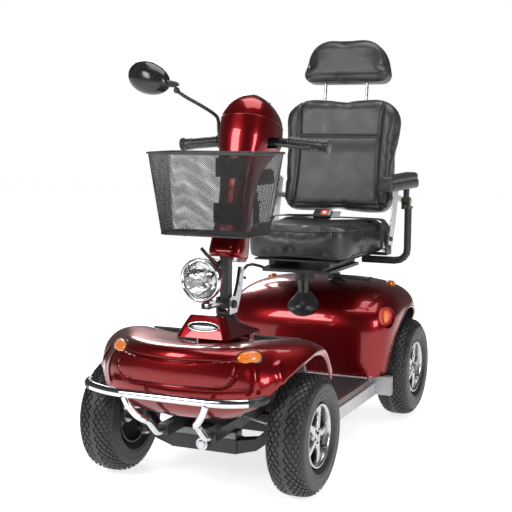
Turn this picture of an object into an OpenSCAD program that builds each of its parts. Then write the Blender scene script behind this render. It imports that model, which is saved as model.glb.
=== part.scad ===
// Four-wheel mobility scooter. X runs across (driver's left is +X), Y runs back, Z is up.
// The origin is on the ground, under the middle of the scooter.

/* [Wheels] */
// Distance between the front and rear axles
wheelbase = 944; // [936:1:950]
// Distance between the left and right wheel centres
track = 563; // [560:1:566]
// Outer radius of a tyre
tyre_r = 165; // [162:1:166]
// Width of a tyre
tyre_w = 110; // [104:1:112]
// Radius of the rim where the tyre sits
rim_r = 82; // [80:1:84]

/* [Chassis] */
// Half width of the deck
deck_w = 245; // [240:1:247]
// Height of the deck's top surface
deck_z = 165; // [164:1:166]
// Height of the front frame rails' top
rail_z = 187; // [185:1:188]
// Thickness of the moulded body panels
panel = 4; // [3:0.5:4.5]
// Distance of the bumper bar ahead of the origin
bumper_y = 736; // [732:1:737]
// Radius of the bumper tube
bumper_r = 11.5; // [10.5:0.5:12.5]

/* [Steering] */
// Distance of a kingpin from the centre line
kingpin_x = 205; // [204:1:206]
// Length of the steering arms along the scooter
arm_y = 85; // [82:1:86]
// Sideways offset of the steering arms' ends
arm_x = 13; // [12:1:14]
// Radius of the kingpins and the stub axles
pin_r = 8; // [7:0.5:8]
// Radial running clearance of a pin in its hole
run = 0.05; // [0.02:0.01:0.08]

/* [Tiller] */
// Distance of the steering column ahead of the origin
column_y = 366; // [364:1:368]
// Height of the tilt pivot
tilt_z = 485; // [484:1:486]
// Backward lean of the tiller head
lean = 18; // [17:0.5:19]
// Half length of the handlebar
bar_half = 238; // [232:1:242]
// Half width of the tiller head
head_w = 84; // [80:1:88]

/* [Seat] */
// Half width of the cushion at its rear
seat_w = 202; // [196:1:204]
// Height of the cushion's top
seat_z = 660; // [650:1:664]
// Lean of the lap belt's buckle from flat
buckle_lean = 35; // [20:5:50]
// Half width of the backrest at its top
back_w = 219; // [212:1:221]
// Backward recline of the backrest
recline = 9.8; // [8:0.1:11]
// Distance of the armrest tubes from the centre line
arm_tube_x = 284; // [282:1:286]

/* [Hidden] */
$fn = 48;
front_y = -wheelbase / 2;
rear_y = wheelbase / 2;
wheel_x = track / 2;
axle_z = tyre_r;
side_v = [0, 1, 0];
bumper_z = 295;
back_hinge = [0, 500, 600];
seat_post_y = 249;
bar_y = -176;
bar_z = 930;
lamp = [0, -526, 572];
cover_foot = [0, -350, 610];
mirror_ball = [-197, -287, 1088];
arm_tube_y = 494;
arm_pivot = [468, 735];
throttle_hub = [0, -218, 941];
dash_mid = [0, -128, 1002];
dash_tilt = 31;
rest = [60, 412];

// ---- Helpers: lofts, sweeps and rounded outlines ----

function unit(v) = v / norm(v);
function way(p, i) = unit(p[min(i + 1, len(p) - 1)] - p[max(i - 1, 0)]);

// One ring of a tube round the point c, square to the direction t
function tube_ring(c, t, r, n, up) = let (a = unit(cross(t, up)), b = cross(t, a))
    [for (k = [0 : n - 1]) c + r * (a * cos(360 * k / n) + b * sin(360 * k / n))];

// A flat strap's section: half width w across, half thickness h
function strap_ring(c, t, w, h, across) = let (a = unit(across), b = unit(cross(t, a)))
    [for (s = [[-1, -1], [1, -1], [1, 1], [-1, 1]]) c + a * w * s[0] + b * h * s[1]];

// A rounded four-cornered ring at height z: half width wf and corner radius r in front, wr and q behind
function slab_ring(wf, wr, y0, y1, r, z, slope = 0, steps = 4, q = 0) = let (
        b = q > 0 ? q : r,
        mids = [[wr - b, y1 - b, 0, b], [-wr + b, y1 - b, 90, b], [-wf + r, y0 + r, 180, r], [wf - r, y0 + r, 270, r]])
    [for (m = mids) for (k = [0 : steps]) let (a = m[2] + 90 * k / steps,
        x = m[0] + m[3] * cos(a), y = m[1] + m[3] * sin(a)) [x, y, z + slope * (y - y0)]];

// A squared oval ring: half width w, from front f to back b, squareness n in front and m behind
function oval_ring(w, f, b, n, z, m = 0, count = 40) =
    [for (k = [0 : count - 1]) let (a = 360 * k / count, c = cos(a), s = sin(a), e = 2 / (s > 0 && m > 0 ? m : n))
        [w * sign(c) * pow(abs(c), e), (f + b) / 2 + (b - f) / 2 * sign(s) * pow(abs(s), e), z]];

// A closed solid through rings of equal length
module loft(rings) {
    n = len(rings[0]);
    m = len(rings);
    polyhedron(
        points = [for (r = rings) each r],
        faces = concat(
            [[for (k = [0 : n - 1]) k]],
            [[for (k = [n - 1 : -1 : 0]) (m - 1) * n + k]],
            [for (i = [0 : m - 2], k = [0 : n - 1]) let (a = i * n + k, b = i * n + (k + 1) % n)
                each [[a, a + n, b], [b, a + n, b + n]]]),
        convexity = 6);
}

module sweep(p, r, n = 10, up = [0, 0, 1])
    loft([for (i = [0 : len(p) - 1]) tube_ring(p[i], way(p, i), r, n, up)]);

module strap(p, w, h, across = [0, 1, 0])
    loft([for (i = [0 : len(p) - 1]) strap_ring(p[i], way(p, i), w, h, across)]);

// A thin moulded skin of thickness t under a grid of surface points
module skin(g, t) {
    rows = len(g);
    cols = len(g[0]);
    inner = [for (i = [0 : rows - 1]) [for (j = [0 : cols - 1])
        let (du = g[min(i + 1, rows - 1)][j] - g[max(i - 1, 0)][j],
             dv = g[i][min(j + 1, cols - 1)] - g[i][max(j - 1, 0)])
        g[i][j] - t * unit(cross(du, dv))]];
    half = rows * cols;
    function at(i, j) = i * cols + j;
    polyhedron(
        points = concat([for (r = g) each r], [for (r = inner) each r]),
        faces = concat(
            [for (i = [0 : rows - 2], j = [0 : cols - 2])
                each [[at(i, j), at(i, j + 1), at(i + 1, j)], [at(i, j + 1), at(i + 1, j + 1), at(i + 1, j)]]],
            [for (i = [0 : rows - 2], j = [0 : cols - 2])
                each [[half + at(i, j), half + at(i + 1, j), half + at(i, j + 1)],
                      [half + at(i, j + 1), half + at(i + 1, j), half + at(i + 1, j + 1)]]],
            [for (i = [0 : rows - 2], j = [0, cols - 1]) let (a = at(i, j), b = at(i + 1, j))
                each j == 0 ? [[a, b, half + a], [b, half + b, half + a]]
                            : [[a, half + a, b], [b, half + a, half + b]]],
            [for (j = [0 : cols - 2], i = [0, rows - 1]) let (a = at(i, j), b = at(i, j + 1))
                each i == 0 ? [[a, half + a, b], [b, half + a, half + b]]
                            : [[a, b, half + a], [b, half + b, half + a]]]),
        convexity = 10);
}

// Evaluates moulded panels as one mesh; the size stays as it is
module moulded() resize([0, 0, 0]) children();

// A straight round bar between two points
module rod(a, b, r) {
    v = b - a;
    translate(a) rotate([0, acos(v[2] / norm(v)), atan2(v[1], v[0])]) cylinder(h = norm(v), r = r);
}

module box(lo, hi) translate(lo) cube(hi - lo);
module both() for (s = [-1, 1]) scale([1, 1, 1]) if (s > 0) children(); else mirror([1, 0, 0]) children();
module along_x(p, r, h) translate(p) rotate([0, 90, 0]) cylinder(h = h, r = r);
module along_y(p, r, h) translate(p) rotate([-90, 0, 0]) cylinder(h = h, r = r);

// An upholstered pad: width along X, height along Y, thickness along Z, edges drawn in by e
module pad(w0, w1, h, t, r, e, q = 0) loft([
    for (k = [[0, e], [e * 0.3, e * 0.3], [e, 0], [t - e, 0], [t - e * 0.3, e * 0.3], [t, e]])
        slab_ring(w0 - k[1], w1 - k[1], k[1], h - k[1], r, k[0], q = q)]);

module on_backrest() translate(back_hinge) rotate([-recline, 0, 0]) children();

// ---- Chassis ----

module main_frame() color("#26262a") difference() {
    union() {
        both() box([57, -612, 157], [87, -280, rail_z]);
        both() box([95, -300, 105], [125, 560, 143]);
        box([-125, -300, 105], [125, -268, 157]);
        box([-57, -461, 157], [57, -449, rail_z - 12]);
        box([-87, -461, 97], [87, -449, 157]);
        box([-125, 228, 105], [125, 270, 143]);
        box([-221, 268, 105], [221, 296, 143]);
        both() box([60, 430, 105], [200, 445, 143]);
        both() box([128, 425, 135], [140, 520, 200]);
        box([-60, 560, 105], [60, 575, 143]);
        box([-60, -312, 157], [60, -282, rail_z - 2]);
        rotate([90, 0, 90]) translate([0, 0, -7]) linear_extrude(14)
            polygon([[-310, 180], [-284, 180], [-286, 200], [-337, 290], [-350, 290], [-350, 222]]);
        translate([0, -column_y, 216]) cylinder(h = 180, r = 24);
        translate([0, seat_post_y, 140]) cylinder(h = 188, r = 24);
    }
    translate([0, -column_y, 200]) cylinder(h = 210, r = 16 + run);
    translate([0, seat_post_y, 150]) cylinder(h = 200, r = 20);
    along_y([0, -470, 117], 9, 40);
    along_x([-250, rear_y, axle_z], 24, 500);
}

module side_rails() color("#8d9096") both() {
    box([230, -255, 105], [250, 268, 144.5]);
    box([223, 268, 105], [300, 296, 166]);
}

module floor_pan() color("#4a1518") difference() {
    rotate([90, 0, 90]) translate([0, 0, -deck_w]) linear_extrude(2 * deck_w)
        polygon([[-250, 145], [214, 145], [214, deck_z], [-246, deck_z], [-366, 384], [-372, 381]]);
    translate([0, -column_y, 100]) cylinder(h = 400, r = 40);
    both() box([228, -400, deck_z + 3], [260, -200, 420]);
    box([-81, -400, 296], [81, -250, 420]);
}

module floor_mat() color("#1c1c1e") {
    box([-232, -238, deck_z], [232, 213, deck_z + 4]);
    both() rotate([90, 0, 90]) translate([0, 0, 90]) linear_extrude(138)
        polygon([[-250.8, 173.8], [-243.8, 177.6], [-366.8, 402.1], [-373.8, 398.3]]);
}

// Body lines of the front fairing from the centre outward; each runs from the chin over the nose to the rear edge
fairing_lines = [
    [[0, -598, 217], [0, -652, 232], [0, -692, 278], [0, -701, 330], [0, -697, 375],
        [0, -680, 410], [0, -630, 414], [0, -530, 403], [0, -430, 394], [0, -378, 388]],
    [[92, -598, 219], [96, -645, 235], [104, -682, 278], [106, -689, 330], [106, -684, 374],
        [102, -662, 409], [100, -610, 415], [100, -525, 408], [100, -430, 398], [100, -379, 389]],
    [[140, -600, 228], [152, -634, 242], [172, -664, 278], [182, -667, 326], [185, -656, 368],
        [182, -618, 404], [180, -572, 415], [180, -505, 415], [180, -430, 405], [180, -379, 391]],
    [[168, -614, 246], [182, -634, 256], [206, -648, 280], [226, -640, 316], [238, -616, 353],
        [238, -575, 388], [237, -532, 406], [236, -472, 414], [236, -415, 408], [238, -376, 393]],
    [[188, -622, 256], [200, -635, 264], [220, -640, 284], [246, -619, 318], [265, -587, 352],
        [272, -552, 376], [278, -512, 393], [281, -455, 405], [281, -395, 397], [280, -345, 370]],
    [[200, -622, 262], [212, -632, 269], [231, -632, 288], [259, -602, 320], [280, -568, 348],
        [293, -532, 369], [302, -494, 383], [306, -446, 391], [305, -382, 378], [300, -322, 322]],
    [[207, -618, 268], [219, -624, 277], [235, -618, 295], [259, -588, 320], [279, -556, 343],
        [291, -522, 361], [300, -488, 374], [304, -445, 379], [303, -378, 358], [297, -308, 282]]];

module front_fairing() color("#8e0d16") moulded() difference() {
    skin([for (i = [-6 : 6]) [for (p = fairing_lines[abs(i)]) [i < 0 ? -p[0] : p[0], p[1], p[2]]]], panel);
    front_lens(1);
    translate([0, -column_y, 300]) cylinder(h = 200, r = 40);
}

module cowl_body(inset) loft([
    slab_ring(66 - inset, 66 - inset, -512 + inset, -288 - inset, 20, 300 - inset),
    slab_ring(84 - inset, 78 - inset, -530 + inset, -284 - inset, 20, 404 - inset / 2),
    slab_ring(55 - inset, 64 - inset, -494 + inset, -288 - inset, 18, 471 - inset, -0.32)]);

module tiller_cowl() color("#9a0e18") moulded() difference() {
    cowl_body(0);
    cowl_body(panel);
    rotate([90, 0, 90]) translate([0, 0, -120]) linear_extrude(240)
        polygon([[-560, 200], [-560, 420], [-520, 409.5], [-470, 409], [-384, 405], [-240, 180], [-240, 100]]);
    translate([0, -column_y, 300]) cylinder(h = 200, r = 19);
}

module front_lens(grow) both() translate([187, -625, 393]) rotate([0, 0, 34]) rotate([62, 0, 0]) rotate([0, 0, 8])
    linear_extrude(24 + 5 * grow, center = true) scale([1, 0.56]) circle(33 + grow);

module indicator_lenses() color("#f08a12") {
    front_lens(0);
    both() translate([222, 508, 424]) cylinder(h = 30, r = 17);
    both() translate([268, 299, 362]) rotate([0, 0, 52]) rotate([90, 0, 0])
        linear_extrude(6) scale([0.45, 1]) circle(24);
}

module bumper_bar() color("#d8d8da") {
    along_x([-120, -bumper_y, bumper_z], bumper_r, 240);
    both() sweep([[110, -bumper_y, bumper_z], [135, -bumper_y + 0.5, bumper_z], [170, -bumper_y + 4, bumper_z + 1],
        [205, -bumper_y + 12, bumper_z + 3], [235, -bumper_y + 24, bumper_z + 5]], bumper_r - 0.2, 16);
    both() rod([232, -bumper_y + 22.8, bumper_z + 4.7], [240, -bumper_y + 26, bumper_z + 5.4], bumper_r + 0.5);
    both() sweep([[118, -bumper_y, 286], [108, -732, 264], [92, -724, 240], [78, -712, 226], [73, -690, 214],
        [72, -664, 190], [72, -646, 176], [72, -630, 172], [72, -612, 172]], 10, 12);
}

// Levels of the rear shroud: height, half width, front, back and squareness
shroud_levels = [
    [167, 284, 220, 636, 4.6], [215, 291, 216, 646, 4.6], [280, 297, 215, 654, 4.4], [330, 302, 217, 658, 4.2],
    [365, 303, 226, 659, 3.9], [393, 295, 244, 653, 3.6], [416, 277, 272, 642, 3.3], [434, 250, 308, 626, 3],
    [447, 212, 350, 602, 2.8], [456, 158, 396, 572, 2.7], [461, 80, 446, 536, 2.5]];

module shroud_body(inset) loft([for (l = shroud_levels)
    oval_ring(l[1] - inset, l[2] + inset, l[3] - inset, l[4], l[0] - (inset > 0 ? (l[0] > 200 ? inset : 5) : 0))]);

module rear_shroud() color("#8e0d16") moulded() difference() {
    shroud_body(0);
    shroud_body(panel);
    both() translate([170, rear_y, axle_z]) scale([1, 0.87, 1]) rotate([0, 90, 0]) cylinder(h = 200, r = 208);
    box([-400, 560, 150], [400, 700, 226]);
    translate([0, seat_post_y, 300]) cylinder(h = 200, r = 24);
    translate([rest[0], rest[1], 400]) cylinder(h = 100, r = 16);
    both() translate([222, 508, 400]) cylinder(h = 80, r = 18);
    both() translate([268, 299, 360]) rotate([0, 0, 52]) rotate([90, 0, 0]) cylinder(h = 60, r = 34, center = true);
}

module tail_lamps() color("#b0101c") {
    both() translate([268, 299, 360]) rotate([0, 0, 52]) rotate([90, 0, 0])
        translate([0, 0, -12]) cylinder(h = 10, r = 33.5);
    both() box([150, 655.5, 300], [210, 662, 340]);
}

module batteries() color("#2b2d33") both() box([14, 298, 146], [194, 406, 330]);

module transaxle() color("#7b7d82") {
    both() rod([20, rear_y, axle_z], [212, rear_y, axle_z], 24);
    both() rod([206, rear_y, axle_z], [330, rear_y, axle_z], 10);
    along_x([-36, rear_y, axle_z], 62, 72);
    along_y([30, rear_y + 20, axle_z + 38], 42, 120);
}

// ---- Seat post and boots ----

module seat_post() color("#1b1b1d") {
    difference() {
        translate([0, seat_post_y, 150]) cylinder(h = 355, r = 20);
        translate([0, seat_post_y, 120]) cylinder(h = 380, r = 16);
    }
    translate([rest[0], rest[1], 345]) cylinder(h = 139, r = 11);
    box([rest[0] - 11, rest[1] + 7, 345], [rest[0] + 11, 440, 357]);
    box([rest[0] - 11, 430, 143], [rest[0] + 11, 440, 356]);
}

module post_boots() color("#202022") moulded() {
    difference() {
        translate([0, seat_post_y + 2, 390]) scale([1, 1, 0.72]) sphere(57, $fn = 32);
        shroud_body(-0.2);
        translate([0, seat_post_y, 300]) cylinder(h = 200, r = 20.2);
        box([-80, 150, 300], [80, 218, 500]);
    }
    difference() {
        translate([rest[0], rest[1], 430]) cylinder(h = 37, r = 34);
        shroud_body(-0.2);
        translate([rest[0], rest[1], 400]) cylinder(h = 100, r = 12);
    }
    difference() {
        translate([0, -column_y, 425]) cylinder(h = 30, r1 = 40, r2 = 22);
        cowl_body(-0.2);
        translate([0, -column_y, 300]) cylinder(h = 200, r = 18);
    }
}

module slide_lever() color("#17171a") {
    difference() {
        along_y([104, 224, 497], 10, 24);
        along_y([104, 200, 497], 4 + run, 60);
    }
    rod([112, 236, 498], [232, 246, 490], 6);
    translate([233, 246, 490]) sphere(10);
    rod([233, 246, 490], [236, 240, 476], 8);
}

// ---- Front axle and steering linkage ----

module axle_beam() color("#232327") difference() {
    union() {
        box([-100, -512, 97], [100, -461.5, 136]);
        box([-96, -508, 135], [96, -466, 156]);
        both() hull() {
            box([92, -508, 97], [100, -466, 134]);
            box([150, -500, 110], [154, -462, 142]);
        }
        both() hull() {
            box([150, -500, 110], [154, -462, 142]);
            box([186, -485, 140], [192, -459, 176]);
        }
        both() translate([kingpin_x, front_y, 135]) cylinder(h = 50, r = 16);
    }
    both() translate([kingpin_x, front_y, 100]) cylinder(h = 120, r = pin_r);
    along_y([0, -520, 117], 9, 70);
}

module axle_pins() color("#b9bcc2") {
    both() translate([kingpin_x, front_y, 112]) {
        cylinder(h = 96, r = pin_r);
        translate([0, 0, 88.3]) cylinder(h = 8, r = 13, $fn = 6);
        translate([0, 0, 0]) cylinder(h = 7.7, r = 13, $fn = 6);
    }
    along_y([0, -522, 117], 9, 80);
    along_y([0, -521, 117], 15, 9);
    along_y([0, -448.8, 117], 15, 9);
}

// s is 1 for the driver's left and -1 for the driver's right
module knuckle(s) translate([s * kingpin_x, front_y, 0]) color("#2a2a2e") {
    difference() {
        union() {
            for (z = [120, 186]) {
                translate([0, 0, z]) cylinder(h = 14, r = 18);
                box([s > 0 ? 0 : -27, -15, z], [s > 0 ? 27 : 0, 15, z + 14]);
            }
            box([s > 0 ? 18.5 : -27, -15, 120], [s > 0 ? 27 : -18.5, 15, 200]);
            translate([0, 0, 190]) linear_extrude(10) polygon([[-14 * s, 0], [14 * s, 0],
                [(arm_x + 9) * s, -arm_y], [(arm_x - 9) * s, -arm_y]]);
            translate([arm_x * s, -arm_y, 190]) cylinder(h = 10, r = 11);
            translate([arm_x * s, -arm_y, 190]) cylinder(h = 26, r = 5);
            rod([20 * s, 0, axle_z], [(wheel_x - kingpin_x + 42) * s, 0, axle_z], pin_r);
            rod([20 * s, 0, axle_z], [(wheel_x - kingpin_x - 27) * s, 0, axle_z], 17);
        }
        translate([0, 0, 100]) cylinder(h = 120, r = pin_r + run);
    }
}
module knuckle_left() knuckle(1);
module knuckle_right() knuckle(-1);

module tie_rod(s) color("#9a9da3") {
    outer = [s * (kingpin_x + arm_x), front_y - arm_y, 207];
    inner = [s * arm_x, -column_y - arm_y, 207];
    difference() {
        union() {
            for (e = [outer, inner]) translate(e) cylinder(h = 12, r = 10, center = true);
            rod(outer + 8 * unit(inner - outer), inner + 8 * unit(outer - inner), 5);
        }
        translate(outer) cylinder(h = 20, r = 5 + run, center = true);
        translate(inner) cylinder(h = 20, r = 6, center = true);
    }
}
module tie_rod_left() tie_rod(1);
module tie_rod_right() tie_rod(-1);

// ---- Wheels ----

// Moves a wheel built about +Z to its corner, its outer face away from the scooter
module corner(s, y) translate([s * wheel_x, y, axle_z]) rotate([0, 90 * s, 0]) children();

module tyre(s, y) color("#2c2d30") corner(s, y) difference() {
    rotate_extrude() polygon([for (k = [0 : 27]) let (a = 360 * k / 28, c = cos(a), q = sin(a), e = 2 / 2.8)
        [(tyre_r + rim_r - 4) / 2 + (tyre_r - rim_r + 4) / 2 * sign(c) * pow(abs(c), e),
            tyre_w / 2 * sign(q) * pow(abs(q), e)]]);
    cylinder(h = tyre_w + 20, r = rim_r, center = true);
}
module tyre_front_left() tyre(1, front_y);
module tyre_front_right() tyre(-1, front_y);
module tyre_rear_left() tyre(1, rear_y);
module tyre_rear_right() tyre(-1, rear_y);

module rim(s, y, bore) color("#c9ccd0") corner(s, y) difference() {
    union() {
        rotate_extrude() polygon([[rim_r - 7, -40], [rim_r + 2, -44], [rim_r + 2, -41], [rim_r, -38], [rim_r, 38],
            [rim_r + 2, 41], [rim_r + 2, 44], [rim_r - 7, 44]]);
        translate([0, 0, -24]) cylinder(h = 64, r = 27);
        for (k = [0 : 4]) rotate([0, 0, 72 * k]) translate([0, 0, 20]) linear_extrude(16)
            polygon([[20, -13], [78, -9], [78, 9], [20, 13]]);
    }
    cylinder(h = 200, r = bore, center = true);
}
module rim_front_left() rim(1, front_y, pin_r + run);
module rim_front_right() rim(-1, front_y, pin_r + run);
module rim_rear_left() rim(1, rear_y, 10 + run);
module rim_rear_right() rim(-1, rear_y, 10 + run);

// ---- Steering column and headlamp ----

module steering_column() color("#202024") {
    translate([0, -column_y, 190]) cylinder(h = 270, r = 16);
    box([-12, -column_y - arm_y, 190], [12, -column_y, 200]);
    box([-arm_x - 10, -column_y - arm_y - 10, 190], [arm_x + 10, -column_y - arm_y + 10, 200]);
    for (s = [-1, 1]) translate([s * arm_x, -column_y - arm_y, 190]) cylinder(h = 26, r = 5);
    box([-21, -column_y - 20, 456], [21, -column_y + 20, 464]);
    for (s = [-1, 1]) rotate([90, 0, 90]) translate([0, 0, s > 0 ? 14.5 : -21]) linear_extrude(6.5)
        polygon([[-column_y - 20, 456], [-column_y + 26, 456], [-column_y + 62, 520], [-column_y + 74, 580],
            [-column_y + 50, 586], [-column_y + 34, 540], [-column_y + 14, 506], [-column_y - 20, 506]]);
    along_x([-26, -column_y, tilt_z], 6, 52);
    for (s = [-1, 1]) along_x([s > 0 ? 21 : -27, -column_y, tilt_z], 10, 6);
    box([-12, -500, 488], [12, -column_y - 19, 493]);
    box([-21, -column_y - 26, 480], [21, -column_y - 19, 498]);
    for (s = [-1, 1]) box([s > 0 ? 9 : -12, -500, 490], [s > 0 ? 12 : -9, -484, 517]);
    along_x([-14, -492, 508], 4, 28);
}

module headlamp_shell() color("#a40f1a") {
    difference() {
        union() {
            translate(lamp) rotate([-90, 0, 0]) rotate_extrude() polygon([[54, 0], [58, 0], [57, 14], [50, 38],
                [36, 58], [18, 68], [0, 70], [0, 67], [16, 65], [34, 55], [47, 36], [53.5, 13]]);
            box([-8.6, -500, 502], [8.6, -484, 522]);
        }
        along_x([-20, -492, 508], 4 + run, 40);
    }
}

module headlamp_bezel() color("#dcdde0") translate(lamp) rotate([90, 0, 0])
    rotate_extrude() polygon([[50, 0], [60, 0], [60.5, 4], [58, 9], [53, 10], [50, 7]]);

module headlamp_lens() color("#dfe8ee") translate(lamp) rotate([90, 0, 0])
    rotate_extrude() polygon([[0, 2], [49.9, 2], [49.9, 5], [38, 8], [20, 10.5], [0, 11.5]]);

// ---- Tiller ----

module on_tiller() translate(cover_foot) rotate([-lean, 0, 0]) children();

module tiller_frame() color("#1e1e21") difference() {
    union() {
        box([-13, -column_y - 13, 472], [13, -column_y + 13, 640]);
        on_tiller() translate([0, 0, 10]) cylinder(h = 420, r = 13);
        box([-14, bar_y - 22, bar_z - 8], [14, bar_y + 16, bar_z + 28]);
        for (z = [bar_z - 18, bar_z + 24]) box([-12, bar_y - 70, z], [12, bar_y - 10, z + 12]);
        translate(throttle_hub) rotate([-lean, 0, 0]) cylinder(h = 40, r = 4, center = true);
        along_x([-22, -column_y - 4, 598], 4, 12);
    }
    along_x([-40, -column_y, tilt_z], 6 + run, 80);
    along_x([-40, bar_y, bar_z + 10], 11, 80);
}

// Sections of the tiller cover along its lean: height, half width, front and rear depth, squareness
cover_levels = [
    [0, 46, 38, 34, 4], [14, 53, 44, 40, 4], [60, 51, 43, 38, 3.6], [170, 47, 42, 38, 3], [260, 57, 50, 52, 2.6],
    [316, 72, 60, 88, 2.5], [358, head_w, 66, 128, 2.4], [412, head_w, 64, 124, 2.3]];
cap_levels = [[412, head_w, 64, 124, 2.3], [436, head_w - 6, 58, 112, 2.3], [458, head_w - 19, 47, 92, 2.3],
    [475, head_w - 36, 32, 66, 2.2], [486, head_w - 56, 16, 38, 2.2], [491, head_w - 70, 4, 18, 2]];

module cover_body(levels, inset, top) on_tiller() loft([for (i = [0 : len(levels) - 1]) let (l = levels[i])
    oval_ring(l[1] - inset, -l[2] + inset, l[3] - inset, l[4],
        l[0] + (inset > 0 ? (i == 0 ? top[0] : (i == len(levels) - 1 ? top[1] : 0)) : 0), 3.2)]);

module tiller_cover() color("#a80f1b") moulded() difference() {
    cover_body(cover_levels, 0, [0, 0]);
    cover_body(cover_levels, 3, [3, 5]);
    box([-14.5, -column_y - 14.5, 560], [14.5, -column_y + 30, 660]);
    for (s = [-1, 1]) bracket_stems(s, 6);
    along_x([-120, bar_y, bar_z + 10], 14, 240);
    box([-120, -252, 922], [120, -188, 952]);
    dash_cut();
}

module dash_cut() translate(dash_mid) rotate([dash_tilt, 0, 0]) box([-120, -6, -120], [120, 120, 120]);

module tiller_cap() color("#a80f1b") moulded() difference() {
    cover_body(cap_levels, 0, [0, 0]);
    cover_body(cap_levels, 3, [-5, -3]);
    dash_cut();
}

module dash_panel() color("#2a0a0e") difference() {
    translate(dash_mid) rotate([dash_tilt, 0, 0]) translate([0, -1, 0]) rotate([90, 0, 0]) linear_extrude(4.8)
        polygon([[-34, -44], [34, -44], [48, -28], [48, 12], [34, 40], [-34, 40], [-48, 12], [-48, -28]]);
    dash_holes(0, 0);
}

// Round openings of the dash: speed dial, horn button and key switch
dash_spots = [[-4, -20, 6.2], [30, -20, 7.2], [22, 24, 6.2]];
module dash_holes(from, grow) translate(dash_mid) rotate([dash_tilt, 0, 0])
    for (d = dash_spots) along_y([d[0], -30, d[1]], d[2] + grow, 60);

module on_dash(i) translate(dash_mid) rotate([dash_tilt, 0, 0]) translate([dash_spots[i][0], 0, dash_spots[i][1]])
    children();

module handlebar() color("#1a1a1c") {
    along_x([-bar_half + 126, bar_y, bar_z + 10], 11, 2 * bar_half - 252);
    both() rod([bar_half - 130, bar_y, bar_z + 10], [bar_half - 3, bar_y, bar_z - 1], 10.4);
}

module grips() color("#232325") both() {
    start = [bar_half - 130, bar_y, bar_z + 10];
    end = [bar_half - 3, bar_y, bar_z - 1];
    d = unit(end - start);
    difference() {
        union() {
            rod(start + 6 * d, end, 17.5);
            rod(end - 6 * d, end + 3 * d, 21);
        }
        rod(start, end, 10.4);
        box([bar_half - 140, bar_y - 30, bar_z - 30], [bar_half - 125.5, bar_y + 30, bar_z + 50]);
    }
}

module tilt_lever() color("#18181a") difference() {
    union() {
        along_x([-22, -column_y - 4, 598], 9, 8.5);
        sweep([[-18, -column_y - 10, 598], [-19, -392, 603], [-27, -410, 617], [-38, -420, 632], [-50, -424, 647]], 5, 10,
            [1, 0, 0]);
    }
    along_x([-30, -column_y - 4, 598], 4 + run, 30);
}

module throttle_lever() color("#151517") difference() {
    union() {
        both() rod(throttle_hub, [192, -228, 923], 4.5);
        both() translate([194, -228, 923]) sphere(8);
        translate(throttle_hub) rotate([-lean, 0, 0]) cylinder(h = 20, r = 9, center = true);
    }
    translate(throttle_hub) rotate([-lean, 0, 0]) cylinder(h = 60, r = 4 + run, center = true);
}

module key() color("#b9bcc2") on_dash(2) {
    along_y([0, -12, 0], 6.2 - run, 16);
    box([-1.4, 3.9, -8], [1.4, 22, 8]);
    box([-2.5, 20, -13], [2.5, 44, 13]);
}

module speed_dial() color("#1c1c1e") on_dash(0) {
    along_y([0, -14, 0], 6.2 - run, 16);
    along_y([0, 0.5, 0], 16, 14);
}

module horn_button() color("#c8a21c") on_dash(1) {
    along_y([0, -12, 0], 7.2 - run, 18);
    along_y([0, -14, 0], 9, 3);
}

module mirror_arm() color("#1d1d20") {
    difference() {
        along_x([-110, bar_y, bar_z + 10], 18, 11);
        along_x([-120, bar_y, bar_z + 10], 11 + run, 40);
    }
    difference() {
        union() {
            sweep([[-104, bar_y - 12, 950], [-105, -194, 970], [-105, -198, 1000], [-112, -206, 1018],
                [-140, -236, 1043], [-175, -268, 1068], [-194, -284, 1084]], 4.5, 10, [1, 0, 0]);
            translate(mirror_ball) sphere(9);
        }
        translate(mirror_ball) cylinder(h = 40, r = 3 + run, center = true);
    }
}

// The head is an egg seen from the rear: half width, half height and centre at each depth
module mirror_head() color("#1b1b1d") {
    mirror_body();
    translate(mirror_ball + [0, 0, -9]) cylinder(h = 28, r = 3);
    rod([-197, -287, 1105], [-226, -300, 1106], 4.5);
}
module mirror_body() difference() {
    translate([-279, -300, 1122]) rotate([0, 18, 0]) rotate([90, 0, 0])
        loft([for (k = [[-12, 0.93], [-6, 1], [2, 0.97], [14, 0.84], [24, 0.6], [30, 0.3]])
            [for (i = [0 : 23]) let (a = 15 * i, r = 1 + 0.14 * cos(a + 180))
                [70 * k[1] * cos(a) * (1 - 0.06 * cos(a)), 47 * k[1] * sin(a) * r, k[0]]]]);
    translate(mirror_ball) sphere(11.5);
}

module bracket_stems(s, r) {
    along_y([s * 10, -333, 868], r, 52);
    along_y([s * 10, -363, 740], r, 42);
}

module basket_bracket() color("#151517") {
    box([-48, -336, 842], [48, -332, 896]);
    box([-40, -366, 712], [40, -362, 770]);
    for (s = [-1, 1]) {
        rod([s * 20, -334, 850], [s * 20, -364, 764], 3.5);
        bracket_stems(s, 4);
    }
}

module basket_form(inset) hull() {
    translate([0, 0, 690 + inset]) linear_extrude(1) polygon([for (p = slab_ring(134 - inset, 148 - inset,
        -522 + inset, -378 - inset, 30, 0)) [p[0], p[1]]]);
    translate([0, 0, 914 + (inset > 0 ? 4 : 0)]) linear_extrude(1) polygon([for (p = slab_ring(159 - inset,
        175 - inset, -552 + inset, -346 - inset, 32, 0)) [p[0], p[1]]]);
}

module basket() color("#141416") {
    difference() {
        basket_form(0);
        basket_form(2);
    }
    difference() {
        translate([0, 0, 909]) linear_extrude(7) polygon([for (p = slab_ring(162, 178, -555, -343, 34, 0)) [p[0], p[1]]]);
        translate([0, 0, 900]) linear_extrude(30)
            polygon([for (p = slab_ring(156, 172, -549, -349, 30, 0)) [p[0], p[1]]]);
    }
    for (x = [-38, 38]) {
        box([x - 5, -349, 897], [x + 5, -327, 901]);
        box([x - 5, -330.5, 880], [x + 5, -327, 901]);
    }
}

// ---- Seat ----

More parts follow.
